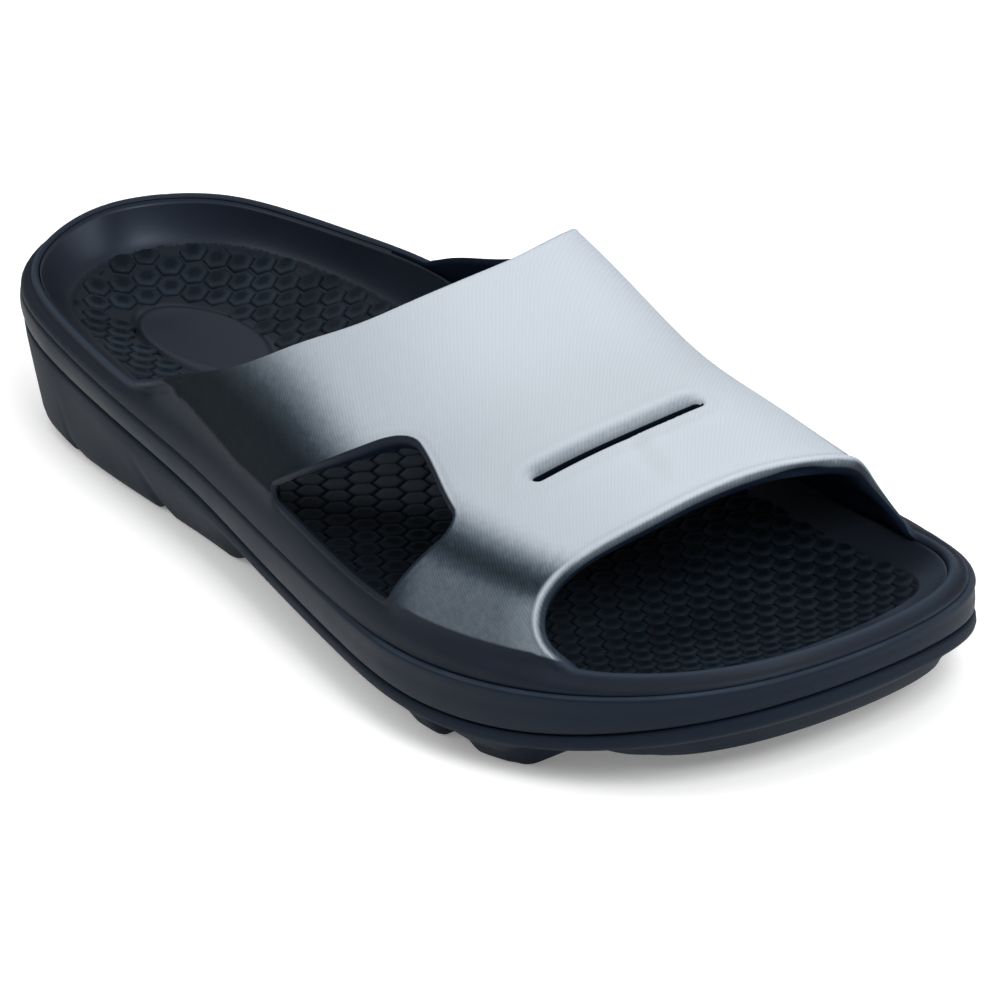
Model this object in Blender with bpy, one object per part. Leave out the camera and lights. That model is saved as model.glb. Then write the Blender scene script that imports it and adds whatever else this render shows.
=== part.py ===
"""Sport slide sandal for the right foot: outsole, midsole, footbed and a one-piece upper.

Metres, +Z up. +Y points to the toe and +X to the outer side of the right foot.
Every table holds shares of the named size that its heading names.
"""
import math
from collections import namedtuple

import bmesh
import bpy
import numpy as np

# Main sizes
LENGTH = 0.296
BALL_WIDTH = 0.1068
HEEL_HEIGHT = 0.0330
OUTSOLE_HEIGHT = 0.0268
HEEL_RIM = 0.0068
FOOTBED_HEIGHT = 0.0262
INSTEP_HEIGHT = 0.0790
TOE_SPRING = 0.0090

# Walls and clearances
CLEARANCE = 0.0003
EDGE_GAP = CLEARANCE * 1.5
RIM_WALL = 0.0028
VAMP_WALL = 0.0040
FOOTBED_THICKNESS = 0.0050
EDGE_ROUND = 0.0011
SIDE_STEP = 0.0016
STEP_DROP = 0.0026
SOLE_TAPER = 0.0078
SOLE_WALL = 0.0060
SOLE_WALL_FOOT = 0.0085

# Window and slot in the vamp: their places are shares of LENGTH, the slot's middle of BALL_WIDTH
WINDOW_LENGTH = 0.0660
SLOT_LENGTH = 0.0405
SLOT_WIDTH = 0.0032
WINDOW_REAR = 0.556
SLOT_PLACE = 0.805
SLOT_MIDDLE = 0.034

# How finely the surfaces are divided
STATIONS = 56
BAND_COLUMNS = 28
CURVE_SAMPLES = 1440
ARC_STEPS = 5

# Ends of the collar and of the toe opening along the rim, as shares of the stations
COLLAR_STATION = round(STATIONS * 0.383)
TOE_STATION = round(STATIONS * 0.783)

# Middle line of the foot: straight up to a share of half the length, then squeezed
SPINE_STRAIGHT = 0.66
SPINE_FAN = 0.10

SideRow = namedtuple("SideRow", "share medial lateral")
HeightRow = namedtuple("HeightRow", "share height")
WindowRow = namedtuple("WindowRow", "along height radius")
RimRow = namedtuple("RimRow", "share rise_medial rise_lateral inset_medial inset_lateral")
EdgeRow = namedtuple("EdgeRow", "turn collar toe")

# Outline of the sole: place along LENGTH, and distance from the heel line as shares of BALL_WIDTH
OUTLINE = [
    SideRow(0.000, 0.000, 0.000),
    SideRow(0.035, 0.220, 0.227),
    SideRow(0.090, 0.313, 0.324),
    SideRow(0.180, 0.366, 0.373),
    SideRow(0.300, 0.379, 0.401),
    SideRow(0.420, 0.363, 0.419),
    SideRow(0.540, 0.387, 0.458),
    SideRow(0.660, 0.454, 0.500),
    SideRow(0.760, 0.486, 0.512),
    SideRow(0.850, 0.480, 0.453),
    SideRow(0.925, 0.446, 0.341),
    SideRow(0.980, 0.334, 0.168),
    SideRow(1.000, 0.079, -0.079),
]

# Groove between the upper's rim and the midsole: shares of HEEL_HEIGHT
RIM_GROOVE = [
    HeightRow(0.00, 1.036),
    HeightRow(0.10, 0.994),
    HeightRow(0.30, 0.858),
    HeightRow(0.50, 0.733),
    HeightRow(0.70, 0.685),
    HeightRow(0.85, 0.655),
    HeightRow(1.00, 0.745),
]

# Groove between the midsole and the outsole: shares of OUTSOLE_HEIGHT
SOLE_GROOVE = [
    HeightRow(0.00, 1.060),
    HeightRow(0.10, 0.970),
    HeightRow(0.30, 0.825),
    HeightRow(0.50, 0.616),
    HeightRow(0.70, 0.496),
    HeightRow(0.85, 0.440),
    HeightRow(1.00, 0.700),
]

# Lugs, arch and toe spring: height of the ground face as shares of TOE_SPRING
TREAD = [
    HeightRow(0.000, 0.34),
    HeightRow(0.045, 0.08),
    HeightRow(0.110, 0.00),
    HeightRow(0.285, 0.00),
    HeightRow(0.300, 0.12),
    HeightRow(0.315, 0.00),
    HeightRow(0.400, 0.00),
    HeightRow(0.470, 0.82),
    HeightRow(0.695, 0.78),
    HeightRow(0.733, 0.00),
    HeightRow(0.757, 0.00),
    HeightRow(0.780, 0.50),
    HeightRow(0.808, 0.00),
    HeightRow(0.830, 0.00),
    HeightRow(0.888, 0.88),
    HeightRow(0.925, 0.74),
    HeightRow(1.000, 1.05),
]

# Rim of the upper above its groove: rises as shares of HEEL_RIM, insets as shares of BALL_WIDTH
RIM = [
    RimRow(0.00, 0.78, 0.78, 0.045, 0.045),
    RimRow(0.10, 0.56, 0.58, 0.043, 0.043),
    RimRow(0.22, 0.92, 0.70, 0.042, 0.036),
    RimRow(0.30, 1.45, 0.88, 0.043, 0.029),
    RimRow(0.36, 1.75, 1.00, 0.044, 0.025),
    RimRow(0.50, 1.50, 1.12, 0.042, 0.020),
    RimRow(0.60, 1.12, 1.10, 0.069, 0.019),
    RimRow(0.70, 1.05, 1.05, 0.108, 0.020),
    RimRow(0.85, 0.78, 0.78, 0.092, 0.030),
    RimRow(0.93, 0.50, 0.50, 0.046, 0.044),
    RimRow(1.00, 0.42, 0.42, 0.038, 0.038),
]

# Inset of the ground face all round: shares of SOLE_TAPER
TAPER = [
    HeightRow(0.00, 0.28),
    HeightRow(0.12, 0.46),
    HeightRow(0.30, 0.90),
    HeightRow(0.50, 1.00),
    HeightRow(0.80, 0.96),
    HeightRow(1.00, 0.84),
]

# Floor of the outsole inside its wall: shares of OUTSOLE_HEIGHT
SOLE_FLOOR = [
    HeightRow(0.00, 0.500),
    HeightRow(0.10, 0.340),
    HeightRow(0.30, 0.300),
    HeightRow(0.50, 0.400),
    HeightRow(0.70, 0.380),
    HeightRow(0.85, 0.400),
    HeightRow(1.00, 0.520),
]

# Middle line of the footbed: shares of FOOTBED_HEIGHT
FOOTBED_LINE = [
    HeightRow(0.00, 0.90),
    HeightRow(0.10, 0.77),
    HeightRow(0.17, 0.73),
    HeightRow(0.30, 0.76),
    HeightRow(0.50, 0.82),
    HeightRow(0.70, 0.75),
    HeightRow(0.85, 0.73),
    HeightRow(1.00, 0.82),
]

# Ridge of the instep: place along LENGTH, shares of INSTEP_HEIGHT
INSTEP = [
    HeightRow(0.30, 1.070),
    HeightRow(0.45, 1.060),
    HeightRow(0.60, 1.004),
    HeightRow(0.70, 0.803),
    HeightRow(0.80, 0.724),
    HeightRow(0.90, 0.622),
    HeightRow(1.00, 0.580),
]

# Edges of the vamp: turn over the instep as a share of half a turn, places along LENGTH
VAMP_EDGES = [
    EdgeRow(0.00, 0.321, 0.888),
    EdgeRow(0.08, 0.434, 0.871),
    EdgeRow(0.15, 0.516, 0.868),
    EdgeRow(0.22, 0.569, 0.872),
    EdgeRow(0.29, 0.603, 0.878),
    EdgeRow(0.36, 0.618, 0.884),
    EdgeRow(0.44, 0.625, 0.884),
    EdgeRow(0.54, 0.622, 0.884),
    EdgeRow(0.63, 0.608, 0.886),
    EdgeRow(0.71, 0.585, 0.884),
    EdgeRow(0.79, 0.553, 0.874),
    EdgeRow(0.87, 0.496, 0.862),
    EdgeRow(0.94, 0.414, 0.866),
    EdgeRow(1.00, 0.321, 0.888),
]

# Edge of the footbed's field: shares of FOOTBED_HEIGHT
FIELD_EDGE = [
    HeightRow(0.00, 1.08),
    HeightRow(0.10, 1.02),
    HeightRow(0.30, 0.98),
    HeightRow(0.50, 0.94),
    HeightRow(0.70, 0.86),
    HeightRow(0.85, 0.80),
    HeightRow(1.00, 0.87),
]

# Corners of the side window: along as shares of WINDOW_LENGTH, heights and radii of INSTEP_HEIGHT
WINDOW = [
    WindowRow(-0.02, 0.430, 0.016),
    WindowRow(0.62, 0.712, 0.130),
    WindowRow(1.03, 0.602, 0.032),
    WindowRow(0.84, 0.388, 0.030),
]

# Ridge of the instep beside the heel line: between two places along LENGTH, shares of BALL_WIDTH
RIDGE_BACK = 0.30
RIDGE_FRONT = 0.90
RIDGE_SIDE_BACK = -0.085
RIDGE_SIDE_FRONT = -0.050

# How full the vamp's arch is between rim and ridge: 1 is an ellipse, less is squarer
FULLNESS = 0.86

Station = namedtuple("Station", "point normal share")


def spline(knots, values, places, closed=False):
    """Cubic curve through the rows of a table, read at the given places."""
    knots = np.asarray(knots, float)
    values = np.asarray(values, float)
    places = np.asarray(places, float)
    steps = np.diff(knots)
    chords = np.diff(values) / steps
    count = len(knots)
    matrix = np.zeros((count, count))
    right = np.zeros(count)
    for i in range(1, count - 1):
        matrix[i, i - 1] = 1 / steps[i - 1]
        matrix[i, i] = 2 / steps[i - 1] + 2 / steps[i]
        matrix[i, i + 1] = 1 / steps[i]
        right[i] = 3 * (chords[i - 1] / steps[i - 1] + chords[i] / steps[i])
    if closed:
        matrix[0, 0] = 2 / steps[-1] + 2 / steps[0]
        matrix[0, 1] = 1 / steps[0]
        matrix[0, -2] = 1 / steps[-1]
        right[0] = 3 * (chords[-1] / steps[-1] + chords[0] / steps[0])
        matrix[-1, 0] = 1
        matrix[-1, -1] = -1
    else:
        matrix[0, 0] = 2
        matrix[0, 1] = 1
        right[0] = 3 * chords[0]
        matrix[-1, -1] = 2
        matrix[-1, -2] = 1
        right[-1] = 3 * chords[-1]
    slopes = np.linalg.solve(matrix, right)
    index = np.clip(np.searchsorted(knots, places, side="right") - 1, 0, count - 2)
    t = (places - knots[index]) / steps[index]
    start = values[index]
    end = values[index + 1]
    bend_start = slopes[index] * steps[index]
    bend_end = slopes[index + 1] * steps[index]
    return (start * (1 + 2 * t) * (1 - t) ** 2 + bend_start * t * (1 - t) ** 2
            + end * t * t * (3 - 2 * t) + bend_end * t * t * (t - 1))


def column(table, name):
    """One named column of a table as an array."""
    return np.array([getattr(row, name) for row in table])


def read(table, name, share):
    """A table's column at the given shares of the length, along a smooth curve."""
    return spline(column(table, "share"), column(table, name), np.clip(share, 0, 1))


def stepped(table, share):
    """A height table with level rests at its rows and smooth flanks between them."""
    knots = column(table, "share")
    values = column(table, "height")
    share = np.clip(share, 0, 1)
    index = np.clip(np.searchsorted(knots, share, side="right") - 1, 0, len(knots) - 2)
    t = (share - knots[index]) / (knots[index + 1] - knots[index])
    return values[index] + (values[index + 1] - values[index]) * t * t * (3 - 2 * t)


def share_of(y):
    """Place along the length, 0 at the heel and 1 at the toe."""
    return y / LENGTH + 0.5


def outline_curve():
    """Closed outline of the sole, from the heel along the outer side, and its middle in x."""
    lateral = [(row.lateral * BALL_WIDTH, (row.share - 0.5) * LENGTH) for row in OUTLINE]
    medial = [(-row.medial * BALL_WIDTH, (row.share - 0.5) * LENGTH) for row in OUTLINE[-2:0:-1]]
    corners = np.array(lateral + medial + lateral[:1])
    gaps = np.sqrt(np.linalg.norm(np.diff(corners, axis=0), axis=1))
    knots = np.concatenate([[0], np.cumsum(gaps)])
    places = np.linspace(0, knots[-1], CURVE_SAMPLES, endpoint=False)
    curve = np.column_stack([spline(knots, corners[:, axis], places, closed=True) for axis in (0, 1)])
    toe_index = int(np.argmax(curve[:, 1]))
    middle = (curve[:, 0].max() + curve[:, 0].min()) / 2
    curve[:, 0] -= middle
    curve[:, 1] *= LENGTH / (curve[:, 1].max() - curve[:, 1].min())
    return curve, toe_index, middle


OUTLINE_CURVE, TOE_INDEX, MIDDLE = outline_curve()


def side_x(y, lateral):
    """Where the outline lies at a place along the foot, on the given side."""
    side = OUTLINE_CURVE[:TOE_INDEX + 1] if lateral else OUTLINE_CURVE[TOE_INDEX:][::-1]
    order = np.argsort(side[:, 1])
    return np.interp(y, side[order, 1], side[order, 0])


def station_places():
    """Places of the stations along the foot, close together at the ends and on the lugs' edges."""
    turn = np.linspace(0, math.pi, STATIONS + 1)
    places = 0.5 - 0.5 * np.cos(turn)
    for row in TREAD[1:-1]:
        places[np.argmin(np.abs(places - row.share))] = row.share
    return (places - 0.5) * LENGTH


PLACES = station_places()


def stations():
    """Stations round the outline: heel, outer side, toe, inner side."""
    side = np.concatenate([np.ones(STATIONS + 1, bool), np.zeros(STATIONS - 1, bool)])
    y = np.concatenate([PLACES, PLACES[-2:0:-1]])
    x = np.where(side, side_x(y, True), side_x(y, False))
    x[0] = OUTLINE_CURVE[np.argmin(OUTLINE_CURVE[:, 1]), 0]
    x[STATIONS] = OUTLINE_CURVE[TOE_INDEX, 0]
    points = np.column_stack([x, y])
    dense = np.roll(OUTLINE_CURVE, -1, axis=0) - np.roll(OUTLINE_CURVE, 1, axis=0)
    dense /= np.linalg.norm(dense, axis=1)[:, None]
    normals = []
    for point in points:
        nearest = np.argmin(np.linalg.norm(OUTLINE_CURVE - point, axis=1))
        normals.append((dense[nearest, 1], -dense[nearest, 0]))
    return Station(points, np.array(normals), share_of(y))


ROUND = stations()
BAND_SHARES = (share_of(PLACES[COLLAR_STATION]), share_of(PLACES[TOE_STATION]))
LATERAL = np.arange(len(ROUND.share)) <= STATIONS


def rim_groove(y):
    """Height of the groove under the upper's rim."""
    return read(RIM_GROOVE, "height", share_of(y)) * HEEL_HEIGHT


def sole_groove(y):
    """Height of the groove over the outsole."""
    return read(SOLE_GROOVE, "height", share_of(y)) * OUTSOLE_HEIGHT


def sole_floor(y):
    """Height of the outsole's floor inside its wall."""
    return read(SOLE_FLOOR, "height", share_of(y)) * OUTSOLE_HEIGHT


def inset_ring(inset, height):
    """Ring of points inside the outline by an inset, at heights given or worked out from y."""
    flat = ROUND.point - ROUND.normal * np.broadcast_to(inset, ROUND.share.shape)[:, None]
    z = height(flat[:, 1]) if callable(height) else np.broadcast_to(height, ROUND.share.shape)
    return np.column_stack([flat, z])


def spine():
    """Middle line of the foot, one point for each station from heel to toe."""
    away = np.abs(PLACES) / (LENGTH / 2)
    fan = SPINE_STRAIGHT + SPINE_FAN * (1 - np.exp((SPINE_STRAIGHT - away) / SPINE_FAN))
    y = np.sign(PLACES) * np.where(away > SPINE_STRAIGHT, fan, away) * LENGTH / 2
    x = (side_x(y, True) + side_x(y, False)) / 2
    return np.column_stack([x, y])


def spine_ring(height):
    """The middle line laid out as a ring, so that it zips a loft shut."""
    line = spine()
    both = np.concatenate([line, line[-2:0:-1]])
    z = height(both[:, 1]) if callable(height) else height
    return np.column_stack([both, np.broadcast_to(z, len(both))])


def between(ring_a, ring_b, share):
    """Ring between two others."""
    return ring_a + (ring_b - ring_a) * share


def rim_inset():
    """Inset of the rim's top round the outline."""
    medial = read(RIM, "inset_medial", ROUND.share)
    lateral = read(RIM, "inset_lateral", ROUND.share)
    return np.where(LATERAL, lateral, medial) * BALL_WIDTH


def rim_top():
    """Ring along the top of the upper's rim, where the vamp stands on it."""
    medial = read(RIM, "rise_medial", ROUND.share)
    lateral = read(RIM, "rise_lateral", ROUND.share)
    rise = np.where(LATERAL, lateral, medial) * HEEL_RIM
    ring = inset_ring(rim_inset(), rim_groove)
    ring[:, 2] += rise
    return ring


def side_at(ring, y, lateral):
    """Position on one side of a ring at places along the foot."""
    part = ring[:STATIONS + 1] if lateral else np.concatenate([ring[STATIONS:], ring[:1]])[::-1]
    return np.stack([np.interp(y, part[:, 1], part[:, axis]) for axis in (0, 2)])


def dome(y, turn):
    """Outer face over the instep: place along the foot and turn from the outer to the inner side."""
    rim = rim_top()
    share = share_of(y)
    height = spline(column(INSTEP, "share"), column(INSTEP, "height"), share) * INSTEP_HEIGHT
    beside = np.interp(share, [RIDGE_BACK, RIDGE_FRONT], [RIDGE_SIDE_BACK, RIDGE_SIDE_FRONT])
    ridge = beside * BALL_WIDTH - MIDDLE
    angle = turn * math.pi
    outer = turn <= 0.5
    lateral = side_at(rim, y, True)
    medial = side_at(rim, y, False)
    foot_x = np.where(outer, lateral[0], medial[0])
    foot_z = np.where(outer, lateral[1], medial[1])
    x = ridge + (foot_x - ridge) * np.abs(np.cos(angle)) ** FULLNESS
    z = foot_z + (height - foot_z) * np.abs(np.sin(angle)) ** FULLNESS
    return np.stack([x, y, z], axis=-1)


# Solids from here on

# Footbed's section: lip and cup widths, and how hollow the cup and the dish are
LIP_WIDTH = 0.0015
CUP_WIDTH = 0.0085
CUP_CURVE = 0.36
DISH_CURVE = 0.30
EDGE_SHARE = 0.70

# Rim's shoulder, as shares of its inset and its rise
SHOULDER_INSET = 0.28
SHOULDER_RISE = 0.52

# Where the side's toe step starts and how fast it grows, along the length
TOE_STEP_START = 0.30
TOE_STEP_GROWTH = 2.0

# Length over which the rim's wall thickens to the vamp's, and how far its columns crowd to the rim
BLEND_SHARE = 0.05
TURN_EASE = 0.60

# Reach of the cutters: the window's from a share of BALL_WIDTH, the slot's in INSTEP_HEIGHT
WINDOW_REACH = 0.15
SLOT_LOW = 0.5
SLOT_HIGH = 1.2
SLOT_ROUND = 0.96

MERGE = 0.00001

# Colour and roughness of each piece
COATS = {
    "outsole": ((0.020, 0.024, 0.034), 0.62),
    "midsole": ((0.024, 0.029, 0.041), 0.55),
    "footbed": ((0.012, 0.014, 0.019), 0.68),
    "upper": ((0.420, 0.460, 0.500), 0.50),
}


def collection(name):
    """Collection of its own, linked to the scene."""
    made = bpy.data.collections.new(name)
    bpy.context.scene.collection.children.link(made)
    return made


def coat(name):
    """Principled material in the colour of one piece."""
    colour, roughness = COATS[name]
    made = bpy.data.materials.new(name)
    made.use_nodes = True
    shader = made.node_tree.nodes["Principled BSDF"]
    shader.inputs["Base Color"].default_value = (*colour, 1)
    shader.inputs["Roughness"].default_value = roughness
    made.diffuse_color = (*colour, 1)
    return made


def piece(name, bm, home):
    """Object from a finished mesh: merged, faces outward, shaded smooth."""
    bmesh.ops.remove_doubles(bm, verts=bm.verts, dist=MERGE)
    bmesh.ops.dissolve_degenerate(bm, edges=bm.edges, dist=MERGE)
    bmesh.ops.recalc_face_normals(bm, faces=bm.faces)
    for face in bm.faces:
        face.smooth = True
    mesh = bpy.data.meshes.new(name)
    bm.to_mesh(mesh)
    bm.free()
    made = bpy.data.objects.new(name, mesh)
    made.data.materials.append(coat(name))
    home.objects.link(made)
    return made


def loft(rings, turned):
    """Mesh skinned over closed rings, first to last.

    Its squares are halved along one diagonal, and from the turned ring on along the other, so that
    two pieces that lie face to face are halved alike.
    """
    bm = bmesh.new()
    rows = [[bm.verts.new(point) for point in ring] for ring in rings]
    for strip, (near, far) in enumerate(zip(rows, rows[1:])):
        for i in range(len(near)):
            j = (i + 1) % len(near)
            if strip < turned:
                bm.faces.new((near[i], near[j], far[j]))
                bm.faces.new((near[i], far[j], far[i]))
            else:
                bm.faces.new((near[i], near[j], far[i]))
                bm.faces.new((near[j], far[j], far[i]))
    return bm


def at_height(ring, height):
    """The same ring in plan, at other heights."""
    z = height(ring[:, 1]) if callable(height) else height
    return np.column_stack([ring[:, :2], np.broadcast_to(z, len(ring))])


def lifted(ring, rise):
    """Ring moved up by a rise."""
    return ring + np.array([0, 0, rise])


def tread(y):
    """Height of the ground face: lugs, arch and toe spring."""
    return stepped(TREAD, share_of(y)) * TOE_SPRING


def outsole(home):
    """Ground piece: tapered side with its step, lugs, raised arch and toe spring."""
    seam = sole_groove(ROUND.point[:, 1])
    toe_step = SIDE_STEP * np.clip((ROUND.share - TOE_STEP_START) * TOE_STEP_GROWTH, 0, 1)
    taper = read(TAPER, "height", ROUND.share) * SOLE_TAPER
    bottom = inset_ring(taper, tread)
    side = inset_ring(taper - EDGE_ROUND, 0)
    side[:, 2] = bottom[:, 2] + EDGE_ROUND
    step_height = np.maximum(seam - STEP_DROP, side[:, 2] + EDGE_ROUND)
    line = spine_ring(tread)
    rings = [
        spine_ring(sole_floor),
        inset_ring(SOLE_WALL_FOOT, sole_floor),
        inset_ring(SOLE_WALL, sole_groove),
        inset_ring(EDGE_ROUND, sole_groove),
        inset_ring(0, seam - EDGE_ROUND),
        inset_ring(0, step_height),
        inset_ring(toe_step + EDGE_ROUND / 2, step_height - EDGE_ROUND),
        side,
        bottom,
        at_height(between(bottom, line, 0.5), tread),
        line,
    ]
    piece("outsole", loft(rings, len(rings)), home)


def footbed_rings(edge):
    """Upper face of the footbed, from its edge to the middle line."""
    field_height = read(FIELD_EDGE, "height", ROUND.share) * FOOTBED_HEIGHT
    line = spine_ring(lambda y: read(FOOTBED_LINE, "height", share_of(y)) * FOOTBED_HEIGHT)
    inward = line - edge
    inward[:, 2] = 0
    inward /= np.linalg.norm(inward, axis=1)[:, None]
    lip = edge + inward * LIP_WIDTH
    field = edge + inward * CUP_WIDTH
    field[:, 2] = np.minimum(field_height, edge[:, 2] - LIP_WIDTH)
    cup = between(lip, field, 0.5)
    cup[:, 2] = field[:, 2] + (lip[:, 2] - field[:, 2]) * CUP_CURVE
    inner = between(field, line, 0.5)
    inner[:, 2] = line[:, 2] + (field[:, 2] - line[:, 2]) * DISH_CURVE
    return [edge, lip, cup, field, inner, line]


def footbed(top, home):
    """Insole with its heel cup: an even sheet under the upper face. Gives its underside's rings."""
    under = [lifted(ring, -FOOTBED_THICKNESS) for ring in top[1:]]
    heel = lifted(top[0], -FOOTBED_THICKNESS * EDGE_SHARE)
    under[0] = at_height(under[0], np.minimum(under[0][:, 2], heel[:, 2]))
    bottom = [heel] + under
    piece("footbed", loft(bottom[::-1] + top, len(bottom) + len(top)), home)
    return bottom


def midsole(under, home):
    """Thick band between the two grooves, hollowed on top for the footbed."""
    bed = [lifted(ring, -CLEARANCE) for ring in under]
    seat = inset_ring(EDGE_ROUND + RIM_WALL + EDGE_ROUND, rim_groove)
    rings = bed[::-1] + [
        seat,
        inset_ring(EDGE_ROUND, rim_groove),
        inset_ring(0, lambda y: rim_groove(y) - EDGE_ROUND),
        inset_ring(0, lambda y: sole_groove(y) + CLEARANCE + EDGE_ROUND),
        inset_ring(EDGE_ROUND, lambda y: sole_groove(y) + CLEARANCE),
        inset_ring(SOLE_WALL + CLEARANCE, lambda y: sole_groove(y) + CLEARANCE),
        inset_ring(SOLE_WALL_FOOT + CLEARANCE, lambda y: sole_floor(y) + CLEARANCE),
        spine_ring(lambda y: sole_floor(y) + CLEARANCE),
    ]
    piece("midsole", loft(rings, len(bed) + 1), home)


def band_turns():
    """Turns of the vamp's columns, closer together at the rim."""
    t = np.linspace(0, 1, BAND_COLUMNS + 1)
    return t - TURN_EASE * np.sin(2 * math.pi * t) / (2 * math.pi)


def vamp_edge(turn, name, end):
    """Place of the collar's or the toe opening's edge at a turn over the instep."""
    values = column(VAMP_EDGES, name)
    values[[0, -1]] = end
    return (spline(column(VAMP_EDGES, "turn"), values, turn) - 0.5) * LENGTH


def band_column(turn):
    """Points of the vamp at one turn, from the collar to the toe opening."""
    along = PLACES[COLLAR_STATION:TOE_STATION + 1]
    reach = (along - along[0]) / (along[-1] - along[0])
    collar = vamp_edge(turn, "collar", BAND_SHARES[0])
    toe = vamp_edge(turn, "toe", BAND_SHARES[1])
    y = collar + (toe - collar) * reach
    return dome(y, np.full(len(y), turn))


def upper_face():
    """Outer face of the upper: the rim all round and the vamp across it."""
    top = rim_top()
    foot = inset_ring(EDGE_ROUND, lambda y: rim_groove(y) + CLEARANCE)
    shoulder = inset_ring(rim_inset() * SHOULDER_INSET, 0)
    shoulder[:, 2] = foot[:, 2] + (top[:, 2] - foot[:, 2]) * SHOULDER_RISE
    bm = bmesh.new()
    rows = [[bm.verts.new(point) for point in ring] for ring in (foot, shoulder, top)]
    count = len(top)
    for near, far in zip(rows, rows[1:]):
        for i in range(count):
            j = (i + 1) % count
            bm.faces.new((near[i], near[j], far[j], far[i]))
    lateral = rows[2][COLLAR_STATION:TOE_STATION + 1]
    medial = [rows[2][count - k] for k in range(COLLAR_STATION, TOE_STATION + 1)]
    strips = [lateral]
    for turn in band_turns()[1:-1]:
        strips.append([bm.verts.new(point) for point in band_column(turn)])
    strips.append(medial)
    for near, far in zip(strips, strips[1:]):
        for i in range(len(near) - 1):
            bm.faces.new((near[i], near[i + 1], far[i + 1], far[i]))
    bmesh.ops.recalc_face_normals(bm, faces=bm.faces)
    bm.normal_update()
    return bm, rows, strips


def rim_openness():
    """1 where the rim stands free at heel and toe, easing to 0 under the vamp."""
    inside = np.minimum(ROUND.share - BAND_SHARES[0], BAND_SHARES[1] - ROUND.share)
    t = np.clip(inside / BLEND_SHARE, 0, 1)
    return 1 - t * t * (3 - 2 * t)


def upper(home, cutters):
    """Hollow upper: its face thickened inward, window and slot cut. Gives the rim's inner ledge."""
    bm, rows, strips = upper_face()
    count = len(rows[0])
    openness = rim_openness()
    ring_wall = RIM_WALL + (VAMP_WALL - RIM_WALL) * (1 - openness)
    inner = {}
    for row in rows:
        for i, vert in enumerate(row):
            inner[vert] = vert.co - vert.normal * ring_wall[i]
    for strip in strips[1:-1]:
        for vert in strip:
            inner[vert] = vert.co - vert.normal * VAMP_WALL
    seat = inset_ring(EDGE_ROUND + RIM_WALL, lambda y: rim_groove(y) + CLEARANCE)
    for i, vert in enumerate(rows[0]):
        inner[vert] = seat[i]
    for i, vert in enumerate(rows[1]):
        inner[vert][2] = max(inner[vert][2], seat[i][2] + EDGE_ROUND)
    made = {vert: bm.verts.new(place) for vert, place in inner.items()}
    faces = list(bm.faces)
    rims = [edge for edge in bm.edges if edge.is_boundary]
    for face in faces:
        bm.faces.new([made[vert] for vert in reversed(face.verts)])
    for edge in rims:
        first, second = edge.verts
        bm.faces.new((first, second, made[second], made[first]))
    ledge = np.array([made[vert].co for vert in rows[2]])
    body = piece("upper", bm, home)
    for cutter in (window_cutter(cutters), slot_cutter(cutters)):
        cut = body.modifiers.new(cutter.name, "BOOLEAN")
        cut.operation = "DIFFERENCE"
        cut.solver = "EXACT"
        cut.object = cutter
    return ledge


def rounded(corners, radii):
    """Closed outline with its corners rounded by arcs."""
    points = []
    count = len(corners)
    for i in range(count):
        here = np.array(corners[i])
        back = np.array(corners[i - 1]) - here
        ahead = np.array(corners[(i + 1) % count]) - here
        back /= np.linalg.norm(back)
        ahead /= np.linalg.norm(ahead)
        half = math.acos(np.clip(back @ ahead, -1, 1)) / 2
        middle = (back + ahead) / np.linalg.norm(back + ahead)
        centre = here + middle * radii[i] / math.sin(half)
        start = here + back * radii[i] / math.tan(half) - centre
        end = here + ahead * radii[i] / math.tan(half) - centre
        turn = math.atan2(start[0] * end[1] - start[1] * end[0], start @ end)
        for k in range(ARC_STEPS + 1):
            points.append(centre + rotated(start, turn * k / ARC_STEPS))
    return points


def rotated(vector, angle):
    """Plane vector turned by an angle."""
    c, s = math.cos(angle), math.sin(angle)
    return np.array([vector[0] * c - vector[1] * s, vector[0] * s + vector[1] * c])


def prism(name, outline, low, high, place, home):
    """Cutter: an outline pulled from low to high, with place giving each corner in space."""
    bm = bmesh.new()
    near = [bm.verts.new(place(point, low)) for point in outline]
    far = [bm.verts.new(place(point, high)) for point in outline]
    bm.faces.new(near)
    bm.faces.new(far[::-1])
    for i in range(len(near)):
        j = (i + 1) % len(near)
        bm.faces.new((near[j], near[i], far[i], far[j]))
    bmesh.ops.recalc_face_normals(bm, faces=bm.faces)
    mesh = bpy.data.meshes.new(name)
    bm.to_mesh(mesh)
    bm.free()
    made = bpy.data.objects.new(name, mesh)
    made.hide_render = True
    made.display_type = "WIRE"
    home.objects.link(made)
    return made


def window_cutter(home):
    """Cutter for the side window, pulled sideways through the outer wall."""
    rear = (WINDOW_REAR - 0.5) * LENGTH
    corners = [(rear + row.along * WINDOW_LENGTH, row.height * INSTEP_HEIGHT) for row in WINDOW]
    radii = [row.radius * INSTEP_HEIGHT for row in WINDOW]
    outline = rounded(corners, radii)
    return prism("window_cutter", outline, BALL_WIDTH * WINDOW_REACH, BALL_WIDTH,
                 lambda point, x: (x, point[0], point[1]), home)


def slot_cutter(home):
    """Cutter for the slot across the top of the vamp, pulled straight down."""
    middle = SLOT_MIDDLE * BALL_WIDTH
    place = (SLOT_PLACE - 0.5) * LENGTH
    x = SLOT_LENGTH / 2
    y = SLOT_WIDTH / 2
    corners = [(middle - x, place - y), (middle + x, place - y),
               (middle + x, place + y), (middle - x, place + y)]
    outline = rounded(corners, [y * SLOT_ROUND] * len(corners))
    return prism("slot_cutter", outline, INSTEP_HEIGHT * SLOT_LOW, INSTEP_HEIGHT * SLOT_HIGH,
                 lambda point, z: (point[0], point[1], z), home)


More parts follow.
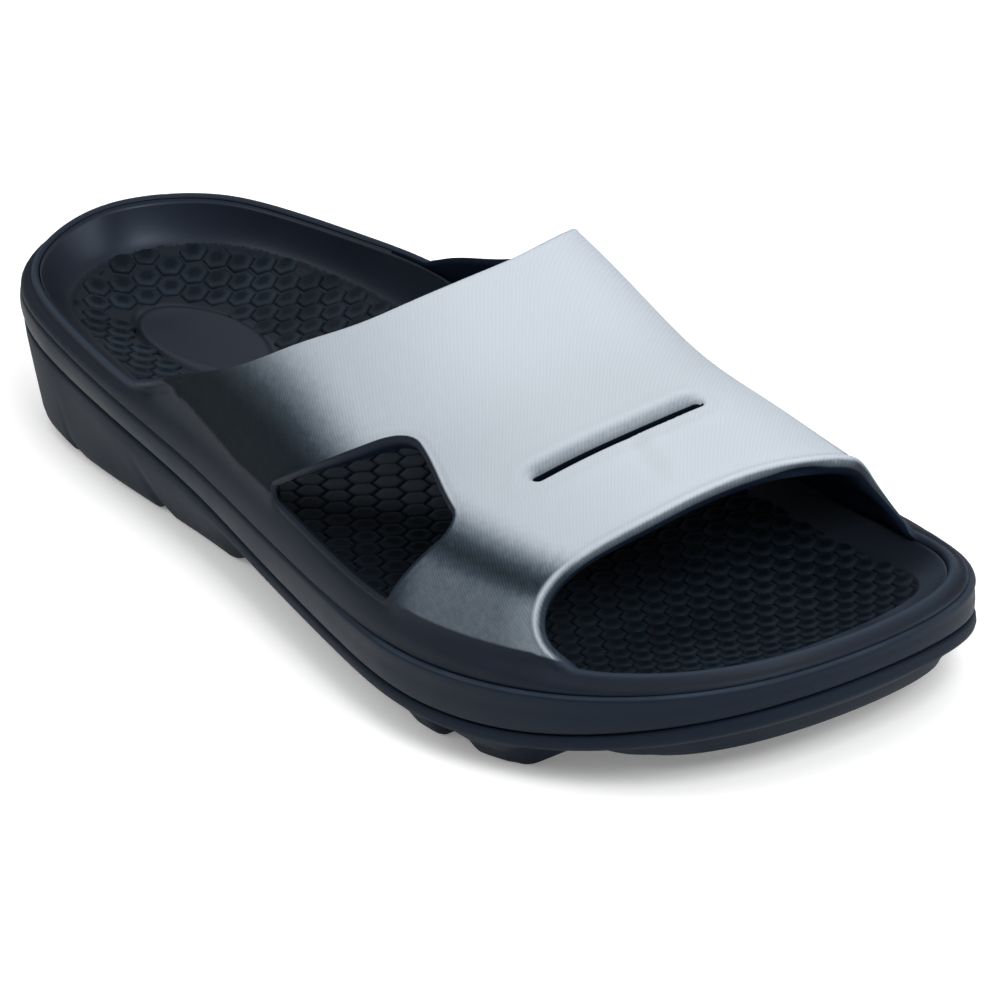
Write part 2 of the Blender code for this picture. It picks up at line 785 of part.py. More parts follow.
def footbed_edge(ledge):
    """Edge of the footbed: just inside the rim's ledge, and lower where the vamp stands over it."""
    edge = ledge - np.column_stack([ROUND.normal, np.zeros(len(ledge))]) * EDGE_GAP
    edge[:, 2] -= LIP_WIDTH * (1 - rim_openness())
    return edge


def main():
    """Builds the sandal's four pieces."""
    for old in list(bpy.data.objects):
        bpy.data.objects.remove(old)
    home = collection("slide_sandal")
    cutters = collection("cutters")
    outsole(home)
    ledge = upper(home, cutters)
    under = footbed(footbed_rings(footbed_edge(ledge)), home)
    midsole(under, home)


main()
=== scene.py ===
"""Sport slide sandal for the right foot: the visual model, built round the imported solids.

The pieces are an outsole with its lugs, a midsole band, a footbed with a field of hexagonal pods
and an upper whose vamp carries a fine woven film. Metres, +Z up, +Y to the toe, +X to the outer side.
"""

import logging
import math
from dataclasses import dataclass
from enum import Enum
from typing import Callable, Iterator, NamedTuple, Optional, Sequence, Union

import bmesh
import bpy
import numpy as np
from mathutils import Matrix, Vector, geometry
from mathutils.bvhtree import BVHTree


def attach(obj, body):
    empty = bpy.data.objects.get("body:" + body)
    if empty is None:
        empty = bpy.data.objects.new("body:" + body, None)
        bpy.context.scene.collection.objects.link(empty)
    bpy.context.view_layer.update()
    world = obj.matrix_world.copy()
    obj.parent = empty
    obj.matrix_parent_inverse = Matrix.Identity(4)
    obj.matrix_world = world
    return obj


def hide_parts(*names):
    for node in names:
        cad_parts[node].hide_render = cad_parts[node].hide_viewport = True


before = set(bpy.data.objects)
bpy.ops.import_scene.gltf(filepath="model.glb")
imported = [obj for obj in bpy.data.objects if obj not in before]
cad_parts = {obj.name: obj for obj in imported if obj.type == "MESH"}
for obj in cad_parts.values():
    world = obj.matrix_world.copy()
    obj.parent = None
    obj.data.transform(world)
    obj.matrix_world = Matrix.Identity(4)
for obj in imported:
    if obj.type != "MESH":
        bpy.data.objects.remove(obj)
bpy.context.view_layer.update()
LOG = logging.getLogger("slide_sandal")

Height = Union[float, np.ndarray, Callable[[np.ndarray], np.ndarray]]
Feed = Union[bpy.types.NodeSocket, float, str]

# Points that are worked on at once, which bounds the memory
CHUNK = 2000


class SideRow(NamedTuple):
    """Half widths of the sole at one place along the foot."""

    share: float
    medial: float
    lateral: float


class HeightRow(NamedTuple):
    """One value at one place along the foot."""

    share: float
    height: float


class RimRow(NamedTuple):
    """Rise and inset of the upper's rim at one place along the foot."""

    share: float
    rise_medial: float
    rise_lateral: float
    inset_medial: float
    inset_lateral: float


class EdgeRow(NamedTuple):
    """Places of the collar's and of the toe opening's edge at one turn over the instep."""

    turn: float
    collar: float
    toe: float


class WindowRow(NamedTuple):
    """One corner of the side window."""

    along: float
    height: float
    radius: float


def table(kind: type, *rows: Sequence[float]) -> list:
    """Rows of one kind from plain numbers."""
    return [kind(*row) for row in rows]


# Outline of the sole: distance from the heel line as shares of the ball width
OUTLINE = table(
    SideRow, (0.000, 0.000, 0.000), (0.035, 0.220, 0.227), (0.090, 0.313, 0.324),
    (0.180, 0.366, 0.373), (0.300, 0.379, 0.401), (0.420, 0.363, 0.419), (0.540, 0.387, 0.458),
    (0.660, 0.454, 0.500), (0.760, 0.486, 0.512), (0.850, 0.480, 0.453), (0.925, 0.446, 0.341),
    (0.980, 0.334, 0.168), (1.000, 0.079, -0.079),
)

# Groove between the upper's rim and the midsole: shares of the heel height
RIM_GROOVE = table(
    HeightRow, (0.00, 1.036), (0.10, 0.994), (0.30, 0.858), (0.50, 0.733), (0.70, 0.685),
    (0.85, 0.655), (1.00, 0.745),
)

# Groove between the midsole and the outsole: shares of the outsole height
SOLE_GROOVE = table(
    HeightRow, (0.00, 1.060), (0.10, 0.970), (0.30, 0.825), (0.50, 0.616), (0.70, 0.496),
    (0.85, 0.440), (1.00, 0.700),
)

# Lugs, arch and toe spring: height of the ground face as shares of the toe spring
TREAD = table(
    HeightRow, (0.000, 0.34), (0.045, 0.08), (0.110, 0.00), (0.142, 0.00), (0.152, 0.17),
    (0.164, 0.00), (0.285, 0.00), (0.300, 0.20), (0.315, 0.00), (0.400, 0.00), (0.470, 0.82),
    (0.695, 0.78), (0.733, 0.00), (0.757, 0.00), (0.780, 0.50), (0.808, 0.00), (0.830, 0.00),
    (0.888, 0.88), (0.925, 0.74), (1.000, 1.05),
)

# Rim of the upper above its groove: rises of the heel rim, insets of the ball width
RIM = table(
    RimRow, (0.00, 0.78, 0.78, 0.045, 0.045), (0.10, 0.56, 0.58, 0.043, 0.043),
    (0.22, 0.92, 0.70, 0.042, 0.036), (0.30, 1.45, 0.88, 0.043, 0.029),
    (0.36, 1.75, 1.00, 0.044, 0.025), (0.50, 1.50, 1.12, 0.042, 0.020),
    (0.60, 1.12, 1.10, 0.069, 0.019), (0.70, 1.05, 1.05, 0.108, 0.020),
    (0.85, 0.78, 0.78, 0.092, 0.030), (0.93, 0.50, 0.50, 0.046, 0.044),
    (1.00, 0.42, 0.42, 0.038, 0.038),
)

# Inset of the ground face all round: shares of the sole's taper
TAPER = table(
    HeightRow, (0.00, 0.28), (0.12, 0.46), (0.30, 0.90), (0.50, 1.00), (0.80, 0.96), (1.00, 0.84),
)

# Middle line of the footbed, and the edge of its field: shares of the footbed height
FOOTBED_LINE = table(
    HeightRow, (0.00, 0.90), (0.10, 0.77), (0.17, 0.73), (0.30, 0.76), (0.50, 0.82), (0.70, 0.75),
    (0.85, 0.73), (1.00, 0.82),
)
FIELD_EDGE = table(
    HeightRow, (0.00, 1.08), (0.10, 1.02), (0.30, 0.98), (0.50, 0.94), (0.70, 0.86), (0.85, 0.80),
    (1.00, 0.87),
)

# Inset of the pod field's edge from the outline, in metres, on both sides
FIELD_INSET = table(
    SideRow, (0.00, 0.0095, 0.0095), (0.06, 0.0088, 0.0108), (0.15, 0.0083, 0.0122),
    (0.30, 0.0090, 0.0100), (0.50, 0.0105, 0.0075), (0.70, 0.0140, 0.0070),
    (0.85, 0.0140, 0.0085), (0.95, 0.0105, 0.0115), (1.00, 0.0125, 0.0125),
)

# Pitch of the pods along the foot, in metres
POD_PITCH = table(
    HeightRow, (0.00, 0.0066), (0.20, 0.0063), (0.50, 0.0063), (0.70, 0.0058), (0.85, 0.0050),
    (0.95, 0.0043), (1.00, 0.0038),
)

# Ridge of the instep: place along the length, shares of the instep height
INSTEP = table(
    HeightRow, (0.30, 1.070), (0.45, 1.060), (0.60, 1.004), (0.70, 0.803), (0.80, 0.724),
    (0.90, 0.622), (1.00, 0.580),
)

# Edges of the vamp: turn over the instep as a share of half a turn, places along the length
VAMP_EDGES = table(
    EdgeRow, (0.00, 0.321, 0.888), (0.03, 0.363, 0.874), (0.08, 0.434, 0.869),
    (0.15, 0.516, 0.868), (0.22, 0.569, 0.872), (0.29, 0.603, 0.878), (0.36, 0.618, 0.884),
    (0.44, 0.625, 0.884), (0.54, 0.622, 0.884), (0.63, 0.608, 0.886), (0.71, 0.585, 0.884),
    (0.79, 0.553, 0.874), (0.87, 0.496, 0.862), (0.94, 0.414, 0.866), (1.00, 0.321, 0.888),
)

# Corners of the side window: along as shares of its length, heights and radii of the instep height
WINDOW = table(
    WindowRow, (-0.02, 0.430, 0.016), (0.62, 0.712, 0.130), (1.03, 0.602, 0.032),
    (0.84, 0.388, 0.030),
)


def spline(knots: Sequence[float], values: Sequence[float], places: np.ndarray,
           closed: bool = False) -> np.ndarray:
    """Reads a smooth cubic curve through table rows.

    Args:
        knots: Places of the rows.
        values: Values of the rows.
        places: Where the curve is read.
        closed: Whether the last row meets the first smoothly.

    Returns:
        The curve's values at the places.
    """
    knots = np.asarray(knots, float)
    values = np.asarray(values, float)
    places = np.asarray(places, float)
    steps = np.diff(knots)
    chords = np.diff(values) / steps
    count = len(knots)
    matrix = np.zeros((count, count))
    right = np.zeros(count)
    for i in range(1, count - 1):
        matrix[i, i - 1] = 1 / steps[i - 1]
        matrix[i, i] = 2 / steps[i - 1] + 2 / steps[i]
        matrix[i, i + 1] = 1 / steps[i]
        right[i] = 3 * (chords[i - 1] / steps[i - 1] + chords[i] / steps[i])
    if closed:
        matrix[0, 0] = 2 / steps[-1] + 2 / steps[0]
        matrix[0, 1] = 1 / steps[0]
        matrix[0, -2] = 1 / steps[-1]
        right[0] = 3 * (chords[-1] / steps[-1] + chords[0] / steps[0])
        matrix[-1, 0] = 1
        matrix[-1, -1] = -1
    else:
        matrix[0, :2] = (2, 1)
        right[0] = 3 * chords[0]
        matrix[-1, -2:] = (1, 2)
        right[-1] = 3 * chords[-1]
    slopes = np.linalg.solve(matrix, right)
    index = np.clip(np.searchsorted(knots, places, side="right") - 1, 0, count - 2)
    t = (places - knots[index]) / steps[index]
    bend_start = slopes[index] * steps[index]
    bend_end = slopes[index + 1] * steps[index]
    return (values[index] * (1 + 2 * t) * (1 - t) ** 2 + bend_start * t * (1 - t) ** 2
            + values[index + 1] * t * t * (3 - 2 * t) + bend_end * t * t * (t - 1))


def column(rows: Sequence[NamedTuple], name: str) -> np.ndarray:
    """One named column of a table as an array."""
    return np.array([getattr(row, name) for row in rows])


def read(rows: Sequence[NamedTuple], name: str, share: np.ndarray) -> np.ndarray:
    """A table's column at shares of the length, along a smooth curve."""
    return spline(column(rows, "share"), column(rows, name), np.clip(share, 0, 1))


def smooth(value: np.ndarray, low: float, high: float) -> np.ndarray:
    """Eases from 0 at low to 1 at high."""
    t = np.clip((value - low) / (high - low), 0, 1)
    return t * t * (3 - 2 * t)


def stepped(rows: Sequence[HeightRow], share: np.ndarray) -> np.ndarray:
    """A height table with level rests at its rows and smooth flanks between them.

    Args:
        rows: The table.
        share: Shares of the length.

    Returns:
        The heights there.
    """
    knots = column(rows, "share")
    values = column(rows, "height")
    share = np.clip(share, 0, 1)
    index = np.clip(np.searchsorted(knots, share, side="right") - 1, 0, len(knots) - 2)
    t = (share - knots[index]) / (knots[index + 1] - knots[index])
    return values[index] + (values[index + 1] - values[index]) * t * t * (3 - 2 * t)


def rounded(corners: Sequence[Sequence[float]], radii: Sequence[float], steps: int) -> np.ndarray:
    """Closed plane outline with its corners rounded by arcs.

    Args:
        corners: The sharp corners in order.
        radii: One radius for each corner.
        steps: Chords of each arc.

    Returns:
        The outline's points.
    """
    points = []
    count = len(corners)
    for i in range(count):
        here = np.array(corners[i], float)
        back = np.array(corners[i - 1], float) - here
        ahead = np.array(corners[(i + 1) % count], float) - here
        back /= np.linalg.norm(back)
        ahead /= np.linalg.norm(ahead)
        half = math.acos(float(np.clip(back @ ahead, -1, 1))) / 2
        middle = (back + ahead) / np.linalg.norm(back + ahead)
        centre = here + middle * radii[i] / math.sin(half)
        start = here + back * radii[i] / math.tan(half) - centre
        end = here + ahead * radii[i] / math.tan(half) - centre
        turn = math.atan2(start[0] * end[1] - start[1] * end[0], float(start @ end))
        for k in range(steps + 1):
            angle = turn * k / steps
            spun = (start[0] * math.cos(angle) - start[1] * math.sin(angle),
                    start[0] * math.sin(angle) + start[1] * math.cos(angle))
            points.append(centre + np.array(spun))
    return np.array(points)


def evenly(points: np.ndarray, spacing: float) -> np.ndarray:
    """Points at an even spacing along the closed line through the given points.

    Args:
        points: The line's points, not closed.
        spacing: Rough distance between points.

    Returns:
        The new points.
    """
    line = np.concatenate([points, points[:1]])
    gaps = np.linalg.norm(np.diff(line, axis=0), axis=1)
    line = line[np.concatenate([[True], gaps > 1e-9])]
    gaps = np.linalg.norm(np.diff(line, axis=0), axis=1)
    reach = np.concatenate([[0], np.cumsum(gaps)])
    count = max(4, int(round(reach[-1] / spacing)))
    places = np.linspace(0, reach[-1], count, endpoint=False)
    return np.column_stack([np.interp(places, reach, line[:, axis]) for axis in range(line.shape[1])])


def arc(*angles: float) -> list[tuple[float, float]]:
    """How far a rounded edge still is from its side and its top, as shares, at angles in degrees."""
    turns = [math.radians(angle) for angle in angles]
    return [(1 - math.sin(turn), 1 - math.cos(turn)) for turn in turns]


def bell(value: np.ndarray, middle: float, width: float) -> np.ndarray:
    """Smooth bump of height 1 round a middle."""
    return np.exp(-((value - middle) / width) ** 2)


@dataclass
class FootForm:
    """Guide curves of the foot that all pieces share."""

    length: float = 0.296
    ball_width: float = 0.1068
    heel_height: float = 0.0330
    outsole_height: float = 0.0268
    heel_rim: float = 0.0068
    footbed_height: float = 0.0262
    instep_height: float = 0.0790
    toe_spring: float = 0.0090
    fullness: float = 0.86
    ridge_back: float = -0.085
    ridge_front: float = -0.050
    samples: int = 2880

    def __post_init__(self) -> None:
        """Works out the outline once."""
        out = [(row.lateral * self.ball_width, (row.share - 0.5) * self.length) for row in OUTLINE]
        back = [(-row.medial * self.ball_width, (row.share - 0.5) * self.length)
                for row in OUTLINE[-2:0:-1]]
        corners = np.array(out + back + out[:1])
        gaps = np.sqrt(np.linalg.norm(np.diff(corners, axis=0), axis=1))
        knots = np.concatenate([[0], np.cumsum(gaps)])
        places = np.linspace(0, knots[-1], self.samples, endpoint=False)
        curve = np.column_stack([spline(knots, corners[:, axis], places, closed=True)
                                 for axis in (0, 1)])
        self.toe_index = int(np.argmax(curve[:, 1]))
        self.middle = (curve[:, 0].max() + curve[:, 0].min()) / 2
        curve[:, 0] -= self.middle
        curve[:, 1] *= self.length / (curve[:, 1].max() - curve[:, 1].min())
        self.curve = curve

    def share(self, y: np.ndarray) -> np.ndarray:
        """Place along the length, 0 at the heel and 1 at the toe."""
        return np.asarray(y) / self.length + 0.5

    def side_x(self, y: np.ndarray, lateral: bool) -> np.ndarray:
        """Where the outline lies on one side at places along the foot."""
        side = self.curve[:self.toe_index + 1] if lateral else self.curve[self.toe_index:][::-1]
        order = np.argsort(side[:, 1])
        return np.interp(y, side[order, 1], side[order, 0])

    def rim_groove(self, y: np.ndarray) -> np.ndarray:
        """Height of the groove under the upper's rim."""
        return read(RIM_GROOVE, "height", self.share(y)) * self.heel_height

    def sole_groove(self, y: np.ndarray) -> np.ndarray:
        """Height of the groove over the outsole."""
        return read(SOLE_GROOVE, "height", self.share(y)) * self.outsole_height

    def tread(self, y: np.ndarray) -> np.ndarray:
        """Height of the ground face."""
        return stepped(TREAD, self.share(y)) * self.toe_spring

    def ridge(self, y: np.ndarray) -> np.ndarray:
        """Where the instep's ridge lies across the foot."""
        beside = np.interp(self.share(y), [0.3, 0.9], [self.ridge_back, self.ridge_front])
        return beside * self.ball_width - self.middle


@dataclass
class Ring:
    """Stations round the outline, each outer one with a twin on the inner side at the same place."""

    form: FootForm
    stations: int

    def __post_init__(self) -> None:
        """Works out points, normals and shares of the stations."""
        form = self.form
        turn = np.linspace(0, math.pi, self.stations + 1)
        self.places = -0.5 * np.cos(turn) * form.length
        y = np.concatenate([self.places, self.places[-2:0:-1]])
        self.lateral = np.arange(len(y)) <= self.stations
        x = np.where(self.lateral, form.side_x(y, True), form.side_x(y, False))
        x[0] = form.curve[np.argmin(form.curve[:, 1]), 0]
        x[self.stations] = form.curve[form.toe_index, 0]
        self.point = np.column_stack([x, y])
        tangent = np.roll(self.point, -1, axis=0) - np.roll(self.point, 1, axis=0)
        tangent /= np.linalg.norm(tangent, axis=1)[:, None]
        self.normal = np.column_stack([tangent[:, 1], -tangent[:, 0]])
        self.share = form.share(y)

    def inset(self, inset: Height, height: Height) -> np.ndarray:
        """Ring inside the outline by an inset, at heights given or worked out from y."""
        flat = self.point - self.normal * np.broadcast_to(inset, self.share.shape)[:, None]
        z = height(flat[:, 1]) if callable(height) else np.broadcast_to(height, self.share.shape)
        return np.column_stack([flat, z])

    def line(self, height: Height) -> np.ndarray:
        """Middle line of the foot as a ring, so that it zips a loft shut.

        Args:
            height: Heights, one height, or a function of y.

        Returns:
            One point for each station.
        """
        straight, fan = 0.66, 0.10
        away = np.abs(self.places) / (self.form.length / 2)
        squeezed = straight + fan * (1 - np.exp((straight - away) / fan))
        y = np.sign(self.places) * np.where(away > straight, squeezed, away) * self.form.length / 2
        x = (self.form.side_x(y, True) + self.form.side_x(y, False)) / 2
        both = np.column_stack([np.concatenate([row, row[-2:0:-1]]) for row in (x, y)])
        z = height(both[:, 1]) if callable(height) else height
        return np.column_stack([both, np.broadcast_to(z, len(both))])

    def side(self, medial: np.ndarray, lateral: np.ndarray) -> np.ndarray:
        """Takes each station's value from its own side."""
        return np.where(self.lateral, lateral, medial)


@dataclass
class RimForm:
    """The upper's rim and the dome of the instep that stands on it."""

    form: FootForm
    stations: int = 240

    def __post_init__(self) -> None:
        """Works out the rim's top once."""
        self.ring = Ring(self.form, self.stations)
        self.top = self.top_of(self.ring)

    def inset_of(self, ring: Ring) -> np.ndarray:
        """Inset of the rim's top at each station."""
        return ring.side(read(RIM, "inset_medial", ring.share),
                         read(RIM, "inset_lateral", ring.share)) * self.form.ball_width

    def top_of(self, ring: Ring) -> np.ndarray:
        """Ring along the top of the rim."""
        rise = ring.side(read(RIM, "rise_medial", ring.share), read(RIM, "rise_lateral", ring.share))
        top = ring.inset(self.inset_of(ring), self.form.rim_groove)
        top[:, 2] += rise * self.form.heel_rim
        return top

    def foot_at(self, y: np.ndarray, lateral: bool) -> np.ndarray:
        """x and z of the rim's top on one side, at places along the foot.

        Args:
            y: Places along the foot.
            lateral: Whether it is the outer side.

        Returns:
            Two rows, x and z.
        """
        count = self.stations
        whole = np.concatenate([self.top, self.top[:1]])
        part = whole[:count + 1] if lateral else whole[count:][::-1]
        return np.stack([np.interp(y, part[:, 1], part[:, axis]) for axis in (0, 2)])

    def dome(self, y: np.ndarray, turn: np.ndarray) -> np.ndarray:
        """Outer face over the instep.

        Args:
            y: Places along the foot.
            turn: Shares of half a turn from the outer to the inner side.

        Returns:
            Points on the face.
        """
        form = self.form
        share = np.clip(form.share(y), INSTEP[0].share, 1)
        height = read(INSTEP, "height", share) * form.instep_height
        ridge = form.ridge(y)
        angle = turn * math.pi
        outer = turn <= 0.5
        lateral = self.foot_at(y, True)
        medial = self.foot_at(y, False)
        foot_x = np.where(outer, lateral[0], medial[0])
        foot_z = np.where(outer, lateral[1], medial[1])
        x = ridge + (foot_x - ridge) * np.abs(np.cos(angle)) ** form.fullness
        z = foot_z + (height - foot_z) * np.abs(np.sin(angle)) ** form.fullness
        return np.stack([x, y, z], axis=-1)


def deselect_all() -> None:
    """Leaves edit mode and deselects every object."""
    if bpy.context.object and bpy.context.object.mode != "OBJECT":
        bpy.ops.object.mode_set(mode="OBJECT")
    bpy.ops.object.select_all(action="DESELECT")


def pick(obj: bpy.types.Object) -> None:
    """Makes one object the active and only selected one."""
    deselect_all()
    obj.select_set(True)
    bpy.context.view_layer.objects.active = obj


def skin_rings(name: str, rings: Sequence[np.ndarray]) -> bpy.types.Object:
    """Skins closed rings: a circle is laid on the first and extruded onto each next one.

    Args:
        name: The piece's name.
        rings: Arrays of points, all of one length.

    Returns:
        The closed piece with its doubles merged and its faces outward.
    """
    count = len(rings[0])
    deselect_all()
    bpy.ops.mesh.primitive_circle_add(vertices=count, radius=1.0)
    obj = bpy.context.object
    obj.name = name
    obj.data.name = name
    bpy.ops.object.mode_set(mode="EDIT")
    bpy.ops.mesh.select_all(action="SELECT")
    bm = bmesh.from_edit_mesh(obj.data)
    bm.verts.ensure_lookup_table()
    order = list(range(count))
    for index, point in zip(order, rings[0]):
        bm.verts[index].co = point
    for ring in rings[1:]:
        bpy.ops.mesh.extrude_edges_move()
        bm = bmesh.from_edit_mesh(obj.data)
        bm.verts.index_update()
        bm.verts.ensure_lookup_table()
        fresh = []
        for index in order:
            vert = bm.verts[index]
            others = (edge.other_vert(vert) for edge in vert.link_edges)
            fresh.append(next(other.index for other in others if other.select))
        order = fresh
        for index, point in zip(order, ring):
            bm.verts[index].co = point
    bmesh.update_edit_mesh(obj.data)
    bpy.ops.mesh.select_all(action="SELECT")
    bpy.ops.mesh.remove_doubles(threshold=0.00001)
    bpy.ops.mesh.normals_make_consistent(inside=False)
    bpy.ops.object.mode_set(mode="OBJECT")
    return settle(obj)


def settle(obj: bpy.types.Object) -> bpy.types.Object:
    """Puts a piece's place into its mesh and shades it smooth."""
    pick(obj)
    bpy.ops.object.transform_apply(location=True, rotation=True, scale=True)
    bpy.ops.object.shade_smooth()
    return obj


def mark(obj: bpy.types.Object, name: str, values: np.ndarray) -> None:
    """Stores one number for each vertex of a piece."""
    layer = obj.data.attributes.new(name, "FLOAT", "POINT")
    layer.data.foreach_set("value", np.asarray(values, np.float32))


def points_of(obj: bpy.types.Object) -> np.ndarray:
    """A piece's vertices as an array."""
    flat = np.zeros(len(obj.data.vertices) * 3)
    obj.data.vertices.foreach_get("co", flat)
    return flat.reshape(-1, 3)


def linear(code: str) -> tuple[float, float, float, float]:
    """Linear colour of an sRGB hex code."""
    values = [int(code[i:i + 2], 16) / 255 for i in (1, 3, 5)]
    return (*[v / 12.92 if v <= 0.04045 else ((v + 0.055) / 1.055) ** 2.4 for v in values], 1.0)


class Gloss(Enum):
    """How shiny a moulded skin is."""

    SATIN = 0.42
    SHEEN = 0.48
    EGGSHELL = 0.55
    MATT = 0.70


class Builder:
    """Node tree of one material, with short ways to the nodes that repeat."""

    def __init__(self, name: str) -> None:
        """Starts a material with its Principled shader and the piece's own coordinates."""
        self.material = bpy.data.materials.new(name)
        self.material.use_nodes = True
        self.tree = self.material.node_tree
        self.shader = self.tree.nodes["Principled BSDF"]
        self.place = self.add("TexCoord").outputs["Object"]

    def fill(self, node: bpy.types.Node, inputs: dict) -> None:
        """Fills a node's inputs.

        Args:
            node: The node.
            inputs: Input name or number to the socket that feeds it, a number or a hex colour.
        """
        for key, value in inputs.items():
            if isinstance(value, bpy.types.NodeSocket):
                self.tree.links.new(value, node.inputs[key])
            else:
                node.inputs[key].default_value = linear(value) if isinstance(value, str) else value

    def add(self, kind: str, inputs: Optional[dict] = None, **settings) -> bpy.types.Node:
        """Adds a node.

        Args:
            kind: The node's type without its prefix.
            inputs: What goes into it, as in fill.
            **settings: Properties of the node.

        Returns:
            The node.
        """
        node = self.tree.nodes.new("ShaderNode" + kind)
        for key, value in settings.items():
            setattr(node, key, value)
        self.fill(node, inputs or {})
        return node

    def dress(self, inputs: dict) -> bpy.types.Material:
        """Fills the shader's inputs and gives the finished material."""
        self.fill(self.shader, inputs)
        return self.material

    def attribute(self, name: str, output: str = "Fac") -> bpy.types.NodeSocket:
        """One of the piece's attributes; a piece without it reads 0."""
        return self.add("Attribute", attribute_name=name).outputs[output]

    def noise(self, size_mm: float, detail: float, roughness: float = 0.5) -> bpy.types.NodeSocket:
        """Noise with patches of a size."""
        return self.add("TexNoise", {"Vector": self.place, "Scale": 1000 / size_mm, "Detail": detail,
                                     "Roughness": roughness}).outputs[0]

    def mix(self, share: Feed, low: Feed, high: Feed) -> bpy.types.NodeSocket:
        """Colour between two colours."""
        return self.add("Mix", {0: share, 6: low, 7: high}, data_type="RGBA").outputs[2]

    def span(self, value: Feed, low: float, high: float, start: float = 0.0,
             end: float = 1.0) -> bpy.types.NodeSocket:
        """Value carried from one span to another and held at its ends."""
        return self.add("MapRange", {0: value, 1: low, 2: high, 3: start, 4: end}).outputs[0]

    def math(self, operation: str, first: Feed, second: Feed) -> bpy.types.NodeSocket:
        """Two values put together."""
        return self.add("Math", {0: first, 1: second}, operation=operation).outputs[0]

    def bump(self, height: Feed, strength: float, height_mm: float) -> bpy.types.NodeSocket:
        """Normal of a fine relief."""
        return self.add("Bump", {"Height": height, "Strength": strength,
                                 "Distance": height_mm / 1000}).outputs[0]


@dataclass(frozen=True)
class MouldedFoam:
    """Closed-cell EVA foam, injection moulded: a dense satin skin with a very fine grain."""

    name: str
    light: str = "#111924"
    dark: str = "#0B121B"
    deep_shade: str = "#04060A"
    edge_highlight: str = "#2A3440"
    sheen: str = "#D6E8FF"
    index: float = 1.48
    shine: float = 0.15
    gloss: Gloss = Gloss.EGGSHELL
    dull: float = 0.92
    grain_mm: float = 0.35
    grain_height_mm: float = 0.015
    cloud_mm: float = 26.0

    def build(self) -> bpy.types.Material:
        """Material with a cloudy tone, painted shade, painted edge highlights and a fine grain.

        Returns:
            The material.
        """
        nodes = Builder(self.name)
        painted_shade = nodes.attribute("painted_shade")
        cloud = nodes.noise(self.cloud_mm, 4.0, 0.6)
        # Painted shade: skin under the vamp and in grooves is painted near black and made dull
        tone = nodes.mix(painted_shade, nodes.mix(cloud, self.dark, self.light), self.deep_shade)
        rough = nodes.span(cloud, 0.3, 0.7, self.gloss.value - 0.05, self.gloss.value + 0.06)
        rough = nodes.add("Mix", {0: painted_shade, 2: rough, 3: self.dull}, data_type="FLOAT").outputs[0]
        # Painted highlight: edges are painted a little lighter, in patches
        highlight_share = nodes.math("MULTIPLY", nodes.attribute("edge"), nodes.span(cloud, 0.35, 0.65, 0.35, 1.0))
        return nodes.dress({
            "Base Color": nodes.mix(highlight_share, tone, self.edge_highlight),
            "Roughness": rough,
            "Normal": nodes.bump(nodes.noise(self.grain_mm, 2.0), 0.35, self.grain_height_mm),
            "IOR": self.index,
            "Specular IOR Level": self.shine,
            "Specular Tint": self.sheen,
        })


